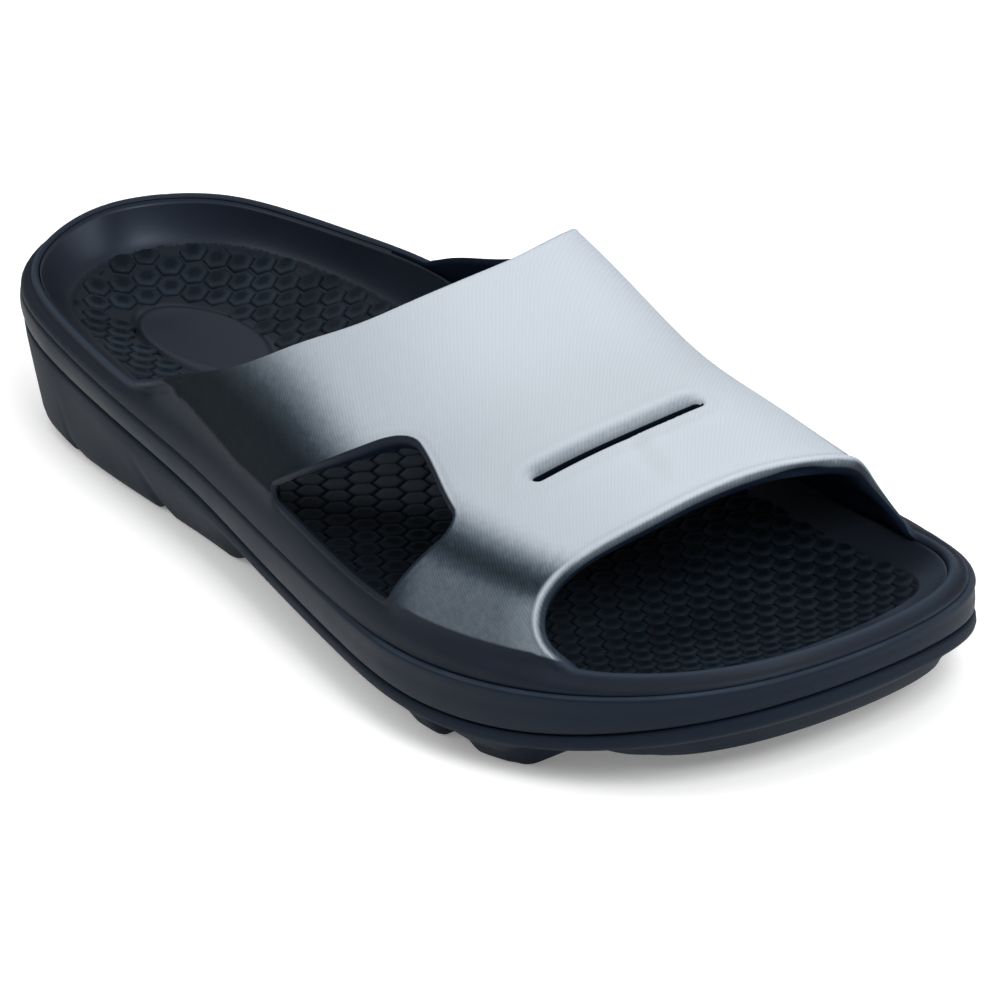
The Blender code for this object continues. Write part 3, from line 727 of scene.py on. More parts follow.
@dataclass(frozen=True)
class WovenFilm:
    """Fine polyester twill bonded to the foam and printed in a fade, with bare foam round it."""

    name: str
    ice: str = "#A9B0B7"
    pale: str = "#8F979F"
    grey: str = "#646D75"
    slate: str = "#363F48"
    dark: str = "#05090E"
    foam: str = "#0F1A28"
    inside: str = "#090E17"
    edge_highlight: str = "#26303D"
    sheen: str = "#D6E8FF"
    # The real threads are finer than a pixel of the render, so the twill is drawn coarser
    thread_mm: float = 0.85
    thread_height_mm: float = 0.05
    speck_mm: float = 1.6
    cloud_mm: float = 14.0
    roughness: float = 0.80
    index: float = 1.09
    skin_gloss: float = 0.30
    skin_roughness: float = 0.55

    def build(self) -> bpy.types.Material:
        """Material that reads the film's cover, tone and inside from the piece's attributes.

        Returns:
            The material.
        """
        nodes = Builder(self.name)
        border = nodes.attribute("border")
        tone = nodes.attribute("tone")
        # Film lies above its lower border and clear of the window's welt
        cover = nodes.math("MULTIPLY", nodes.span(border, -0.0003, 0.0006),
                           nodes.span(nodes.attribute("welt"), 0.0009, 0.0013))
        threads = nodes.add(
            "TexWave", {"Vector": nodes.attribute("weave", "Vector"), "Distortion": 0.6, "Detail": 1.0,
                        "Detail Scale": 2.0, "Scale": 200 * math.pi / (math.sqrt(2) * self.thread_mm)},
            wave_type="BANDS", bands_direction="DIAGONAL").outputs["Fac"]
        # Ragged speckle where the print fades, none where it is plain
        spread = nodes.math("SUBTRACT", tone, 0.5)
        width = nodes.span(nodes.math("MULTIPLY", spread, spread), 0.25, 0.04, 0.0, 0.22)
        speck = nodes.math("SUBTRACT", nodes.noise(self.speck_mm, 5.0, 0.75), 0.5)
        faded = nodes.math("ADD", tone, nodes.math("MULTIPLY", speck, width))
        ramp = nodes.add("ValToRGB", {0: faded})
        elements = ramp.color_ramp.elements
        elements[0].position, elements[0].color = 0.0, linear(self.dark)
        elements[1].position, elements[1].color = 1.0, linear(self.ice)
        for position, colour in ((0.25, self.slate), (0.5, self.grey), (0.75, self.pale)):
            elements.new(position).color = linear(colour)
        # The twill shows most where the print is dark
        shade = nodes.add("Math", {0: nodes.span(tone, 0.0, 1.0, -0.34, -0.035), 1: threads, 2: 1.06},
                          operation="MULTIPLY_ADD").outputs[0]
        print_tone = nodes.add("VectorMath", {0: ramp.outputs[0], "Scale": shade},
                               operation="SCALE").outputs[0]
        skin = nodes.mix(nodes.noise(self.cloud_mm, 3.0), self.inside, self.foam)
        # Painted highlight along the crests of the mouth's and the toe opening's lips
        skin = nodes.mix(nodes.attribute("edge"), skin, self.edge_highlight)
        # The bare foam's moulded skin is a thin gloss over the matt body; inside it is dull
        gloss = nodes.math("MULTIPLY", nodes.span(cover, 0.0, 1.0, self.skin_gloss, 0.0),
                           nodes.span(border, -0.5, -0.1))
        return nodes.dress({
            "Base Color": nodes.mix(cover, skin, print_tone),
            "Roughness": self.roughness,
            "Coat Weight": gloss,
            "Coat Roughness": self.skin_roughness,
            "Normal": nodes.bump(nodes.math("MULTIPLY", threads, cover), 0.45, self.thread_height_mm),
            "IOR": self.index,
            "Specular Tint": self.sheen,
        })


@dataclass(frozen=True)
class StudioPaper:
    """Seamless white paper under the shoe."""

    name: str = "white_studio_paper"
    colour: str = "#FFFFFF"
    glow: float = 0.18
    roughness: float = 0.9
    tooth: float = 900.0

    def build(self) -> bpy.types.Material:
        """Matt white with the faintest tooth, lit a little from below as on a light table.

        Returns:
            The material.
        """
        nodes = Builder(self.name)
        tooth = nodes.add("TexNoise", {"Vector": nodes.place, "Scale": self.tooth}).outputs[0]
        return nodes.dress({
            "Base Color": self.colour,
            "Roughness": self.roughness,
            "Normal": nodes.bump(tooth, 0.02, 0.1),
            "Emission Color": self.colour,
            "Emission Strength": self.glow,
        })


def finish_piece(obj: bpy.types.Object, material: bpy.types.Material, slot: str, *nodes: str) -> None:
    """Dresses a piece and puts it in place of its solid.

    Args:
        obj: The piece.
        material: Its finish.
        slot: Not used.
        *nodes: The solids that it stands for.
    """
    obj.data.materials.clear()
    obj.data.materials.append(material)
    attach(obj, "root")
    if nodes:
        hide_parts(*nodes)
    LOG.info("%s: %d vertices", obj.name, len(obj.data.vertices))


@dataclass
class Outsole:
    """Ground piece: tapered side with a step and bevelled lugs, wave-cut tread, arch, toe spring."""

    form: FootForm
    taper: float = 0.0078
    wall: float = 0.0060
    round_edge: float = 0.0009
    side_step: float = 0.0016
    step_drop: float = 0.0028
    bevel_height: float = 0.0036
    bevel_inset: float = 0.0020
    cut_depth: float = 0.0016
    cut_width: float = 0.0022
    cut_pitch: float = 0.0118
    cut_border: tuple[float, float] = (0.0030, 0.0045)
    heel_cuts: tuple[float, ...] = (0.02, 0.03, 0.39, 0.41)
    ball_cuts: tuple[float, ...] = (0.715, 0.725, 0.965, 0.975)
    wave: float = 0.0026
    wave_turn: float = 0.0085
    stations: int = 400
    floor_rings: int = 36

    def tread_cut(self, x: np.ndarray, y: np.ndarray, inside: np.ndarray) -> np.ndarray:
        """Depth of the cuts across the tread: waves on heel and ball, plain in the arch.

        Args:
            x: Places across the foot.
            y: Places along the foot.
            inside: How far each point lies inside the tread's edge, in metres.

        Returns:
            Depths in metres.
        """
        share = self.form.share(y)
        phase = (y + self.wave * np.sin(x / self.wave_turn)) / self.cut_pitch
        off = np.abs(phase - np.round(phase)) * self.cut_pitch
        cut = 1 - smooth(off, self.cut_width * 0.35, self.cut_width * 0.75)
        zones = sum(smooth(share, start, full) - smooth(share, fade, end)
                    for start, full, fade, end in (self.heel_cuts, self.ball_cuts))
        return self.cut_depth * cut * zones * smooth(inside, *self.cut_border)

    def build(self, foam: bpy.types.Material) -> None:
        """Lofts the piece from its inside over the side to the tread, and dresses it.

        Args:
            foam: Its finish.
        """
        form = self.form
        ring = Ring(form, self.stations)
        seam = form.sole_groove(ring.point[:, 1])
        bottom_z = form.tread(ring.point[:, 1])
        taper = read(TAPER, "height", ring.share) * self.taper
        step = self.side_step * np.clip((ring.share - 0.30) * 2.0, 0, 1)
        tall = np.clip(seam - self.step_drop - bottom_z, 0.002, None)
        bevel = np.minimum(self.bevel_height, tall * 0.5)
        bevel_in = self.bevel_inset * bevel / self.bevel_height
        rings = [
            ring.line(form.outsole_height * 0.3),
            ring.inset(self.wall + 0.0025, form.outsole_height * 0.4),
            ring.inset(self.wall, seam),
            ring.inset(self.round_edge, seam),
        ]
        rings += [ring.inset(self.round_edge * aside, seam - self.round_edge * down)
                  for aside, down in arc(30, 60, 90)]
        rings += [ring.inset(step * share, seam - self.step_drop * drop)
                  for share, drop in ((0.0, 0.75), (0.15, 1.0), (0.85, 1.18))]
        top = seam - self.step_drop * 1.30
        low = bottom_z + bevel
        for share in (0.0, 0.25, 0.5, 0.75, 0.94):
            inset = step + (taper - bevel_in - step) * share ** 1.15
            rings.append(ring.inset(np.maximum(inset, step), top + (low - top) * share))
        base = np.maximum(taper - bevel_in, step)
        rings.append(ring.inset(base + bevel_in * 0.10, low - bevel * 0.10))
        rings.append(ring.inset(base + bevel_in * 0.85, bottom_z + self.round_edge * 0.7))
        rings.append(ring.inset(base + bevel_in + 0.0002, bottom_z + self.round_edge * 0.25))
        edge = ring.inset(base + bevel_in + self.round_edge, form.tread)
        line = ring.line(form.tread)
        reach = np.linalg.norm((line - edge)[:, :2], axis=1)
        for share in np.arange(self.floor_rings + 1) / self.floor_rings:
            floor = edge + (line - edge) * share
            floor[:, 2] = form.tread(floor[:, 1])
            floor[:, 2] += self.tread_cut(floor[:, 0], floor[:, 1], reach * share)
            rings.append(floor)
        finish_piece(skin_rings("outsole_lugged", rings), foam, "outsole", "outsole")


@dataclass
class Midsole:
    """Thick band between the two grooves round the side, with the plate inside it."""

    form: FootForm
    round_top: float = 0.0013
    round_low: float = 0.0011
    groove: float = 0.0003
    bead: float = 0.0006
    swell: float = 0.00025
    stations: int = 300

    def front(self, share: np.ndarray) -> np.ndarray:
        """How far places belong to the front, where the top edge stands proud and carries a painted
        highlight.
        """
        return smooth(share, 0.60, 0.80)

    def build(self, foam: bpy.types.Material) -> None:
        """Lofts the band and dresses it.

        Args:
            foam: Its finish.
        """
        form = self.form
        ring = Ring(form, self.stations)
        top = form.rim_groove(ring.point[:, 1])
        low = form.sole_groove(ring.point[:, 1]) + self.groove
        front = self.front(ring.share)
        radius = self.round_top * (1 - 0.35 * front)
        rings = [
            ring.line(form.footbed_height * 0.55),
            ring.inset(0.0105, form.footbed_height * 0.58),
            ring.inset(0.0045, top - 0.0035),
            ring.inset(radius + 0.0012, top - 0.0001),
        ]
        rings += [ring.inset(radius * aside - self.bead * front, top - radius * down)
                  for aside, down in arc(0, 30, 60, 90)]
        for share in (0.25, 0.5, 0.75):
            height = top - radius + (low + self.round_low - top + radius) * share
            rings.append(ring.inset(-self.swell * math.sin(share * math.pi), height))
        rings += [ring.inset(self.round_low * down, low + self.round_low * aside)
                  for aside, down in arc(0, 30, 60, 90)]
        rings.append(ring.inset(0.0070, low))
        rings.append(ring.inset(0.0090, form.outsole_height * 0.45))
        rings.append(ring.line(form.outsole_height * 0.42))
        obj = skin_rings("midsole_band", rings)
        points = points_of(obj)
        # Painted highlight: a lighter line along the crest of the front top edge
        crest = smooth(points[:, 2] - form.rim_groove(points[:, 1]), -0.0005, -0.0001)
        mark(obj, "edge", self.front(form.share(points[:, 1])) * crest)
        finish_piece(obj, foam, "midsole", "midsole")


@dataclass
class Footbed:
    """Insole with a satin heel cup, a recessed field of hexagonal pods and an oval heel pad."""

    form: FootForm
    rim: RimForm
    thickness: float = 0.0050
    edge_inset: float = 0.0006
    edge_drop: float = 0.0009
    vamp_drop: float = 0.0016
    recess: float = 0.0009
    recess_wall: float = 0.0009
    pad_x: float = 0.0009
    pad_y: float = -0.0968
    pad_half_width: float = 0.0114
    pad_half_length: float = 0.0240
    pad_rise: float = 0.0009
    groove_depth: float = 0.0013
    pod_height: float = 0.00085
    pod_share: float = 0.965
    full_pitch: float = 0.0055
    field_rows: int = 54
    stations: int = 400
    seed: int = 7

    def pad_distance(self, x: np.ndarray, y: np.ndarray) -> np.ndarray:
        """Signed distance, roughly in metres, outside the heel pad's oval."""
        across = (x - self.pad_x) / self.pad_half_width
        along = (y - self.pad_y) / self.pad_half_length
        reach = np.hypot(across, along)
        return (reach - 1) * self.pad_half_width * (1 + 0.35 * np.clip(reach, 0, 2))

    def pad_groove(self, points: np.ndarray) -> np.ndarray:
        """Share of the groove's depth round the pad, which is cut on the outer side only."""
        off = self.pad_distance(points[:, 0], points[:, 1])
        return bell(off, 0.0009, 0.0006) * smooth(points[:, 0] - self.pad_x, 0.0030, 0.0065)

    def field_ring(self, ring: Ring, inset: float = 0.0) -> np.ndarray:
        """Edge of the pod field on the plan, or a ring inside it."""
        edge = ring.side(read(FIELD_INSET, "medial", ring.share),
                         read(FIELD_INSET, "lateral", ring.share))
        return ring.inset(edge + inset, 0.0)

    def rings(self, ring: Ring) -> list[np.ndarray]:
        """Rings of the upper face: the cup's wall, the recess's wall and the field.

        Args:
            ring: The stations round the outline.

        Returns:
            Rings from the rim to the middle line.
        """
        form = self.form
        edge = self.rim.top_of(ring)
        under_vamp = smooth(ring.share, 0.33, 0.38) - smooth(ring.share, 0.78, 0.82)
        edge[:, :2] -= ring.normal * self.edge_inset
        edge[:, 2] -= self.edge_drop + self.vamp_drop * under_vamp
        line = ring.line(lambda y: read(FOOTBED_LINE, "height", form.share(y)) * form.footbed_height)
        field_edge = self.field_ring(ring)
        field_edge[:, 2] = np.minimum(read(FIELD_EDGE, "height", ring.share) * form.footbed_height,
                                      edge[:, 2] - 0.0018)
        found = []
        for t in (0.0, 0.08, 0.2, 0.34, 0.48, 0.62, 0.76, 0.88, 0.95, 1.0):
            row = edge + (field_edge - edge) * t
            fall = 0.35 * t + 0.65 * (1 - (1 - t) ** 2.0)
            row[:, 2] = edge[:, 2] + (field_edge[:, 2] - edge[:, 2]) * fall
            found.append(row)
        inward = line - field_edge
        wall = self.recess_wall / np.linalg.norm(inward[:, :2], axis=1)
        start = np.clip(wall * 1.6, 0, 0.5)
        shares = [(np.clip(wall * step, 0, 0.5), min(1.0, step)) for step in (0.35, 0.7, 1.0, 1.6)]
        shares += [(start + (1 - start) * k / self.field_rows, 1.0)
                   for k in range(1, self.field_rows + 1)]
        for t, depth in shares:
            row = field_edge + inward * t[:, None]
            row[:, 2] = field_edge[:, 2] + inward[:, 2] * (1 - np.clip(1 - t, 0, 1) ** 1.8)
            row[:, 2] -= self.recess * depth
            found.append(row)
        return found

    def build(self, skin: bpy.types.Material, pods: bpy.types.Material) -> None:
        """Builds the insole and its pods.

        Args:
            skin: The insole's finish.
            pods: The pods' finish.
        """
        ring = Ring(self.form, self.stations)
        rows = self.rings(ring)
        for row in rows:
            pad = 1 - smooth(self.pad_distance(row[:, 0], row[:, 1]), -0.0012, 0.0006)
            row[:, 2] += self.pad_rise * pad - self.groove_depth * self.pad_groove(row)
        under = [row.copy() for row in (*rows[0:12:2], rows[-1])]
        for row, drop in zip(under, (0.4, 0.7, 1.0, 1.0, 1.0, 1.0, 1.0)):
            row[:, 2] -= self.thickness * drop
        obj = skin_rings("footbed_cup", rows[::-1] + under)
        tree = BVHTree.FromObject(obj, bpy.context.evaluated_depsgraph_get())
        points = points_of(obj)
        flange = ~inside_many(self.field_ring(ring)[:, :2], points[:, :2])
        off_pad = smooth(self.pad_distance(points[:, 0], points[:, 1]), 0.0008, 0.0018)
        # Painted shade under the vamp, in the pad's groove and on the field floor between the pods
        mark(obj, "painted_shade", np.maximum(self.painted_shade(points), 0.65 * ~flange * off_pad))
        # Painted highlight: the flange towards the toe tip is painted lighter
        mark(obj, "edge", flange * smooth(self.form.share(points[:, 1]), 0.90, 0.95))
        finish_piece(obj, skin, "footbed", "footbed")
        finish_piece(self.lay_pods(tree), pods, "footbed")

    def painted_shade(self, points: np.ndarray) -> np.ndarray:
        """Share of painted shade where points lie under the vamp or in the pad's groove, where little light
        gets.

        Args:
            points: Points on the insole.

        Returns:
            Shares from 0 in the open to 1.
        """
        share = self.form.share(points[:, 1])
        off = (self.form.ridge(points[:, 1]) - points[:, 0]) / (self.form.ball_width / 2)
        across = np.abs(off)
        collar = 0.60 - 0.20 * np.clip(across, 0, 1) ** 2
        toe_open = smooth(share - 0.10 * smooth(off, 0.35, 0.75), 0.70, 0.84)
        deep_shade = smooth(share - collar, -0.03, 0.06) * (1 - 0.85 * toe_open)
        return np.maximum(deep_shade * (1 - 0.30 * smooth(across, 0.60, 0.90)), self.pad_groove(points))

    def pod_shape(self) -> tuple[np.ndarray, list]:
        """One pod, modelled from a six-sided cylinder: chamfered rim and slightly domed top.

        Returns:
            Its points, with the top at 0, and its faces.
        """
        deselect_all()
        bpy.ops.mesh.primitive_cylinder_add(vertices=6, radius=1.0, depth=1.0)
        obj = bpy.context.object
        bpy.ops.object.mode_set(mode="EDIT")
        bpy.ops.mesh.select_all(action="DESELECT")
        bpy.ops.mesh.select_mode(type="FACE")
        bm = bmesh.from_edit_mesh(obj.data)
        for face in bm.faces:
            face.select_set(face.normal.z > 0.9)
        bmesh.update_edit_mesh(obj.data)
        for thickness, depth in ((0.06, 0.16), (0.11, 0.11), (0.40, 0.03)):
            bpy.ops.mesh.inset(thickness=thickness, depth=depth)
        bpy.ops.object.mode_set(mode="OBJECT")
        points = points_of(obj)
        faces = [tuple(poly.vertices) for poly in obj.data.polygons]
        bpy.data.objects.remove(obj)
        points[:, 2] -= points[:, 2].max()
        return points, faces

    def lay_pods(self, tree: BVHTree) -> bpy.types.Object:
        """Copies the pod over the field, row by row, each second row moved by half a pitch.

        Args:
            tree: The insole's faces, for the pods' heights.

        Returns:
            All pods as one piece.
        """
        form = self.form
        shape, faces = self.pod_shape()
        ring = Ring(form, self.stations)
        outline = self.field_ring(ring)[:, :2]
        inner = self.field_ring(ring, 0.0012)[:, :2]
        verts = []
        y = outline[:, 1].min() + 0.0015
        row = 0
        rng = np.random.default_rng(self.seed)
        while y < outline[:, 1].max():
            pitch = float(read(POD_PITCH, "height", form.share(y)))
            for k in range(-14, 15):
                x = (k + 0.5 * (row % 2)) * pitch
                spot = np.array([x, y])
                gaps = np.linalg.norm(outline - spot, axis=1)
                kept = inside_many(outline, spot[None])[0]
                clear = pitch * (0.66 if x > self.pad_x + 0.003 else 0.48)
                if (not kept and gaps.min() > pitch * 0.30) or self.pad_distance(x, y) < clear:
                    continue
                # A pod at the border takes the height of the field beside it, so the wall cuts it
                ground = spot if kept and gaps.min() > 0.0012 else inner[gaps.argmin()]
                hit = tree.ray_cast(Vector((*ground, 0.1)), Vector((0, 0, -1)))
                if hit[0] is not None:
                    place = Vector((x, y, hit[0].z))
                    verts.append(self.place_pod(shape, place, hit[1], pitch, rng))
            y += pitch * 0.5 * math.sqrt(3)
            row += 1
        points = np.concatenate(verts)
        loops = [tuple(i + pod * len(shape) for i in face) for pod in range(len(verts)) for face in faces]
        obj = add_mesh("footbed_pods", points, loops)
        bpy.ops.object.shade_smooth_by_angle(angle=math.radians(58))
        # Painted shade on the pods under the vamp
        mark(obj, "painted_shade", self.painted_shade(points))
        # Painted highlights: the pods' chamfered rims are painted lighter, more at the heel than at the toe
        rim = np.interp(shape[:, 2], [-0.16, -0.14, -0.03, -0.01], [0.2, 0.6, 1.0, 0.0])
        highlight_share = 0.75 - 0.35 * smooth(form.share(points[:, 1]), 0.20, 0.45)
        mark(obj, "edge", np.tile(rim, len(verts)) * highlight_share)
        LOG.info("pods: %d", len(verts))
        return obj

    def place_pod(self, shape: np.ndarray, spot: Vector, normal: Vector, pitch: float,
                  rng: np.random.Generator) -> np.ndarray:
        """One pod's points on the field, standing along the field's normal.

        Args:
            shape: The pod's points, its top at 0.
            spot: Its place on the field.
            normal: The field's normal there.
            pitch: Distance to the next pod.
            rng: Source of the small differences in height.

        Returns:
            The points in place.
        """
        height = self.pod_height * (0.9 + 0.2 * rng.random()) * min(1.0, pitch / self.full_pitch)
        up = np.array(normal.normalized())
        up *= math.copysign(1.0, up[2])
        ahead = np.cross(up, [1.0, 0, 0])
        ahead /= np.linalg.norm(ahead)
        across = np.cross(ahead, up)
        local = shape.copy()
        local[:, :2] *= pitch * self.pod_share / math.sqrt(3)
        local[:, 2] = local[:, 2] * (height / 0.30) + height
        return np.array(spot) + local[:, :1] * across + local[:, 1:2] * ahead + local[:, 2:] * up


@dataclass
class Upper:
    """Rim and broad instep band as one hollow shell with rounded lips.

    The outer face is laid out on a flat map: the rim's outer face lies outside its top ring and the
    dome of the instep inside it. The face is divided there, raised into place and given its wall.
    """

    form: FootForm
    rim: RimForm
    rim_wall: float = 0.0017
    vamp_wall: float = 0.0040
    skirt: float = 0.0090
    window_length: float = 0.0660
    window_rear: float = 0.556
    window_round: float = 0.021
    slot_length: float = 0.0405
    slot_width: float = 0.0030
    slot_bow: float = 0.0014
    slot_place: float = 0.8060
    slot_middle: float = 0.034
    slot_shift: float = 0.0008
    slot_dip: float = 0.00045
    slot_shade: float = 0.34
    collar_share: float = 0.3173
    toe_share: float = 0.8881
    spacing: float = 0.00135
    lip_steps: tuple[float, ...] = (0.0003, 0.0007, 0.0012, 0.0018, 0.0024, 0.0031, 0.0040)
    foot_steps: tuple[float, ...] = (0.0007, 0.0016, 0.0028)
    vamp_ends: tuple[float, float] = (0.30, 0.895)
    weave_spread: float = 1.75
    arc_rows: int = 181
    foot_gap: float = 0.0003
    base_rise: float = 0.042
    patch_tone: float = 0.26
    smudge_tone: float = 0.10
    wrinkle_depth: float = 0.00045
    crease_rise: float = 0.00035

    def __post_init__(self) -> None:
        """Tables of arc length over the instep, for the map."""
        self.count = self.rim.stations
        self.top_plan = self.rim.top[:, :2]
        self.y_rows = np.linspace(-0.075, 0.135, 141)
        self.turns = np.linspace(0, 1, self.arc_rows)
        grid_y, grid_t = np.meshgrid(self.y_rows, self.turns, indexing="ij")
        dome = self.rim.dome(grid_y.ravel(), grid_t.ravel()).reshape(*grid_y.shape, 3)
        steps = np.linalg.norm(np.diff(dome, axis=1), axis=2)
        reach = np.concatenate([np.zeros((len(steps), 1)), np.cumsum(steps, axis=1)], axis=1)
        half = self.arc_rows // 2
        ridge = reach[:, half:half + 1]
        self.arc_lateral = 1 - reach[:, :half + 1] / ridge
        self.arc_medial = (reach[:, half:] - ridge) / (reach[:, -1:] - ridge)

    def halves(self, y: np.ndarray, outer: np.ndarray) -> Iterator[tuple]:
        """Each point's own half of the instep.

        Args:
            y: Places along the foot.
            outer: Which points lie on the outer half.

        Yields:
            Shares of the arc from the ridge to the rim, the turns they stand for, and the way
            from the ridge to the rim on the map.
        """
        half = self.arc_rows // 2
        last = len(self.y_rows) - 1
        row = np.clip(np.interp(y, self.y_rows, np.arange(last + 1)), 0, last)
        low = np.floor(row).astype(int)
        high = np.minimum(low + 1, last)
        mix = row - low
        rim_x = np.where(outer, self.rim.foot_at(y, True)[0], self.rim.foot_at(y, False)[0])
        way = rim_x - self.form.ridge(y)
        for i, on_outer in enumerate(outer):
            arcs = self.arc_lateral if on_outer else self.arc_medial
            turns = self.turns[:half + 1] if on_outer else self.turns[half:]
            yield arcs[low[i]] * (1 - mix[i]) + arcs[high[i]] * mix[i], turns, way[i]

    def turn_to_map(self, y: np.ndarray, turn: np.ndarray) -> np.ndarray:
        """Map place of points of the dome."""
        away = [way * np.interp(place, turns, arcs)
                for place, (arcs, turns, way) in zip(turn, self.halves(y, turn <= 0.5))]
        return np.column_stack([self.form.ridge(y) + away, y])

    def map_to_turn(self, plan: np.ndarray) -> np.ndarray:
        """Turn over the instep of map points inside the rim's top ring.

        Args:
            plan: Points on the flat map.

        Returns:
            Shares of half a turn.
        """
        away = plan[:, 0] - self.form.ridge(plan[:, 1])
        found = []
        for off, (arcs, turns, way) in zip(away, self.halves(plan[:, 1], away >= 0)):
            order = 1 if arcs[0] < arcs[-1] else -1
            found.append(np.interp(np.clip(off / way, 0, 1), arcs[::order], turns[::order]))
        return np.array(found)

    def nearest_top(self, plan: np.ndarray) -> tuple[np.ndarray, np.ndarray]:
        """Where map points lie by the rim's top ring.

        Args:
            plan: Points on the flat map.

        Returns:
            Signed distance outside the ring, and the place along it as a station number.
        """
        start = self.top_plan
        step = np.roll(start, -1, axis=0) - start
        length2 = (step ** 2).sum(1)
        best = np.zeros(len(plan))
        place = np.zeros(len(plan))
        for part in chunks(len(plan)):
            rel = plan[part][:, None, :] - start[None]
            t = np.clip((rel * step[None]).sum(2) / length2, 0, 1)
            gap = np.linalg.norm(rel - t[:, :, None] * step[None], axis=2)
            index = gap.argmin(1)
            rows = np.arange(len(index))
            best[part] = gap[rows, index]
            place[part] = index + t[rows, index]
        return np.where(inside_many(start, plan), -best, best), place

    @staticmethod
    def ring_value(values: np.ndarray, place: np.ndarray) -> np.ndarray:
        """A ring's points between its stations."""
        low = np.floor(place).astype(int) % len(values)
        mix = (place - np.floor(place))[:, None]
        return values[low] * (1 - mix) + values[(low + 1) % len(values)] * mix

    def raise_map(self, plan: np.ndarray) -> tuple[np.ndarray, np.ndarray, np.ndarray]:
        """Places map points in space.

        Args:
            plan: Points on the flat map.

        Returns:
            The points in space, their turn over the instep, and how far down the rim's skirt each
            lies, from 0 at the rim's top to 1 at its foot.
        """
        gap, place = self.nearest_top(plan)
        outside = gap > 0
        points = np.zeros((len(plan), 3))
        turn = np.zeros(len(plan))
        lateral = place <= self.count
        turn[~lateral] = 1.0
        down = np.clip(gap / self.skirt, 0, 1)
        ring = self.rim.ring
        top = self.ring_value(self.rim.top, place)
        foot_ring = ring.inset(self.foot_inset(ring), self.form.rim_groove)
        foot_ring[:, 2] += self.foot_gap * (1 - 1.3 * smooth(ring.share, 0.55, 0.75))
        foot = self.ring_value(foot_ring, place)
        shoulder_ring = ring.inset(self.rim.inset_of(ring) * 0.28, 0.0)
        shoulder_ring[:, 2] = foot_ring[:, 2] + (self.rim.top[:, 2] - foot_ring[:, 2]) * 0.52
        shoulder = self.ring_value(shoulder_ring, place)
        # A curve from top to foot that passes the shoulder at its middle
        t = down[:, None]
        pull = 2 * shoulder - 0.5 * (top + foot)
        curve = top * (1 - t) ** 2 + 2 * pull * t * (1 - t) + foot * t * t
        points[outside] = curve[outside]
        inner = ~outside
        turn[inner] = self.map_to_turn(plan[inner])
        share = self.form.share(plan[inner, 1])
        turn[inner] = np.where(self.past_vamp(share), np.where(lateral[inner], 0.0, 1.0), turn[inner])
        raised = self.rim.dome(plan[inner, 1], turn[inner])
        level = np.column_stack([plan[inner], top[inner, 2]])
        on_dome = (smooth(share, 0.295, 0.325) * (1 - smooth(share, 0.884, 0.902)))[:, None]
        points[inner] = level + (raised - level) * on_dome
        return points, turn, down

    def past_vamp(self, share: np.ndarray) -> np.ndarray:
        """Which places lie behind or before the vamp, where only the rim goes on."""
        return (share < self.vamp_ends[0]) | (share > self.vamp_ends[1])

    def foot_inset(self, ring: Ring) -> np.ndarray:
        """Inset of the skirt's foot: it steps back over the midsole towards the toe."""
        return 0.0004 + 0.0003 * smooth(ring.share, 0.60, 0.80)

    def loops(self) -> dict[str, np.ndarray]:
        """Closed outlines of the face on the map: its foot, its two mouths, the window and the slot.

        Returns:
            The loops by name.
        """
        foot = self.top_plan + self.rim.ring.normal * self.skirt
        count = self.count
        turns = np.linspace(0, 1, 241)
        edges = []
        starts = []
        ends = []
        for name, share in (("collar", self.collar_share), ("toe", self.toe_share)):
            values = column(VAMP_EDGES, name)
            values[[0, -1]] = share
            y = (spline(column(VAMP_EDGES, "turn"), values, turns) - 0.5) * self.form.length
            edges.append(self.turn_to_map(y, turns)[2:-2])
            starts.append(int(np.argmin(np.abs(self.top_plan[:count + 1, 1] - y[0]))))
            ends.append(count + int(np.argmin(np.abs(self.top_plan[count:, 1] - y[-1]))))
        mouth = np.concatenate([self.top_plan[ends[0] + 2:], self.top_plan[:starts[0] - 1], edges[0]])
        opening = np.concatenate([self.top_plan[starts[1] + 2:ends[1] - 1], edges[1][::-1]])
        return {
            "foot": foot,
            "mouth": self.relaxed(evenly(mouth, 0.0011), 10),
            "opening": self.relaxed(evenly(opening, 0.0011), 30),
            "window": self.window_loop(),
            "slot": self.slot_loop(),
        }

    @staticmethod
    def relaxed(loop: np.ndarray, rounds: int) -> np.ndarray:
        """Loop with its small kinks eased."""
        for _ in range(rounds):
            loop = loop * 0.5 + (np.roll(loop, 1, axis=0) + np.roll(loop, -1, axis=0)) * 0.25
        return loop

    def window_loop(self) -> np.ndarray:
        """Window's outline on the map, from its side view.

        Returns:
            Points of the loop.
        """
        form = self.form
        rear = (self.window_rear - 0.5) * form.length
        corners = [(rear + row.along * self.window_length, row.height * form.instep_height)
                   for row in WINDOW]
        radii = [max(row.radius, self.window_round) * form.instep_height for row in WINDOW]
        outline = evenly(rounded(corners, radii, 10), 0.0010)
        turns = np.linspace(0.0, 0.5, 400)
        found = [np.interp(z, self.rim.dome(np.full(400, y), turns)[:, 2], turns) for y, z in outline]
        return self.turn_to_map(outline[:, 0], np.array(found))

    def slot_loop(self) -> np.ndarray:
        """Slot's outline on the map: a long thin lens across the vamp.

        Returns:
            Points of the loop.
        """
        half = self.slot_length / 2
        low = self.slot_width / 2
        corners = [(half, low), (-half, low), (-half, -low), (half, -low)]
        flat = evenly(rounded(corners, [low * 0.96] * 4, 6), 0.0006)
        x = self.slot_x() + flat[:, 0]
        y = self.slot_y() + flat[:, 1] - self.slot_bow * (flat[:, 0] / half) ** 2
        turns = np.linspace(0.15, 0.85, 600)
        found = [np.interp(-px, -self.rim.dome(np.full(600, py), turns)[:, 0], turns)
                 for px, py in zip(x, y)]
        return self.turn_to_map(y, np.array(found))

    def slot_x(self) -> float:
        """Middle of the slot across the foot."""
        return self.slot_middle * self.form.ball_width + self.slot_shift

    def slot_y(self) -> float:
        """Middle of the slot along the foot."""
        return (self.slot_place - 0.5) * self.form.length

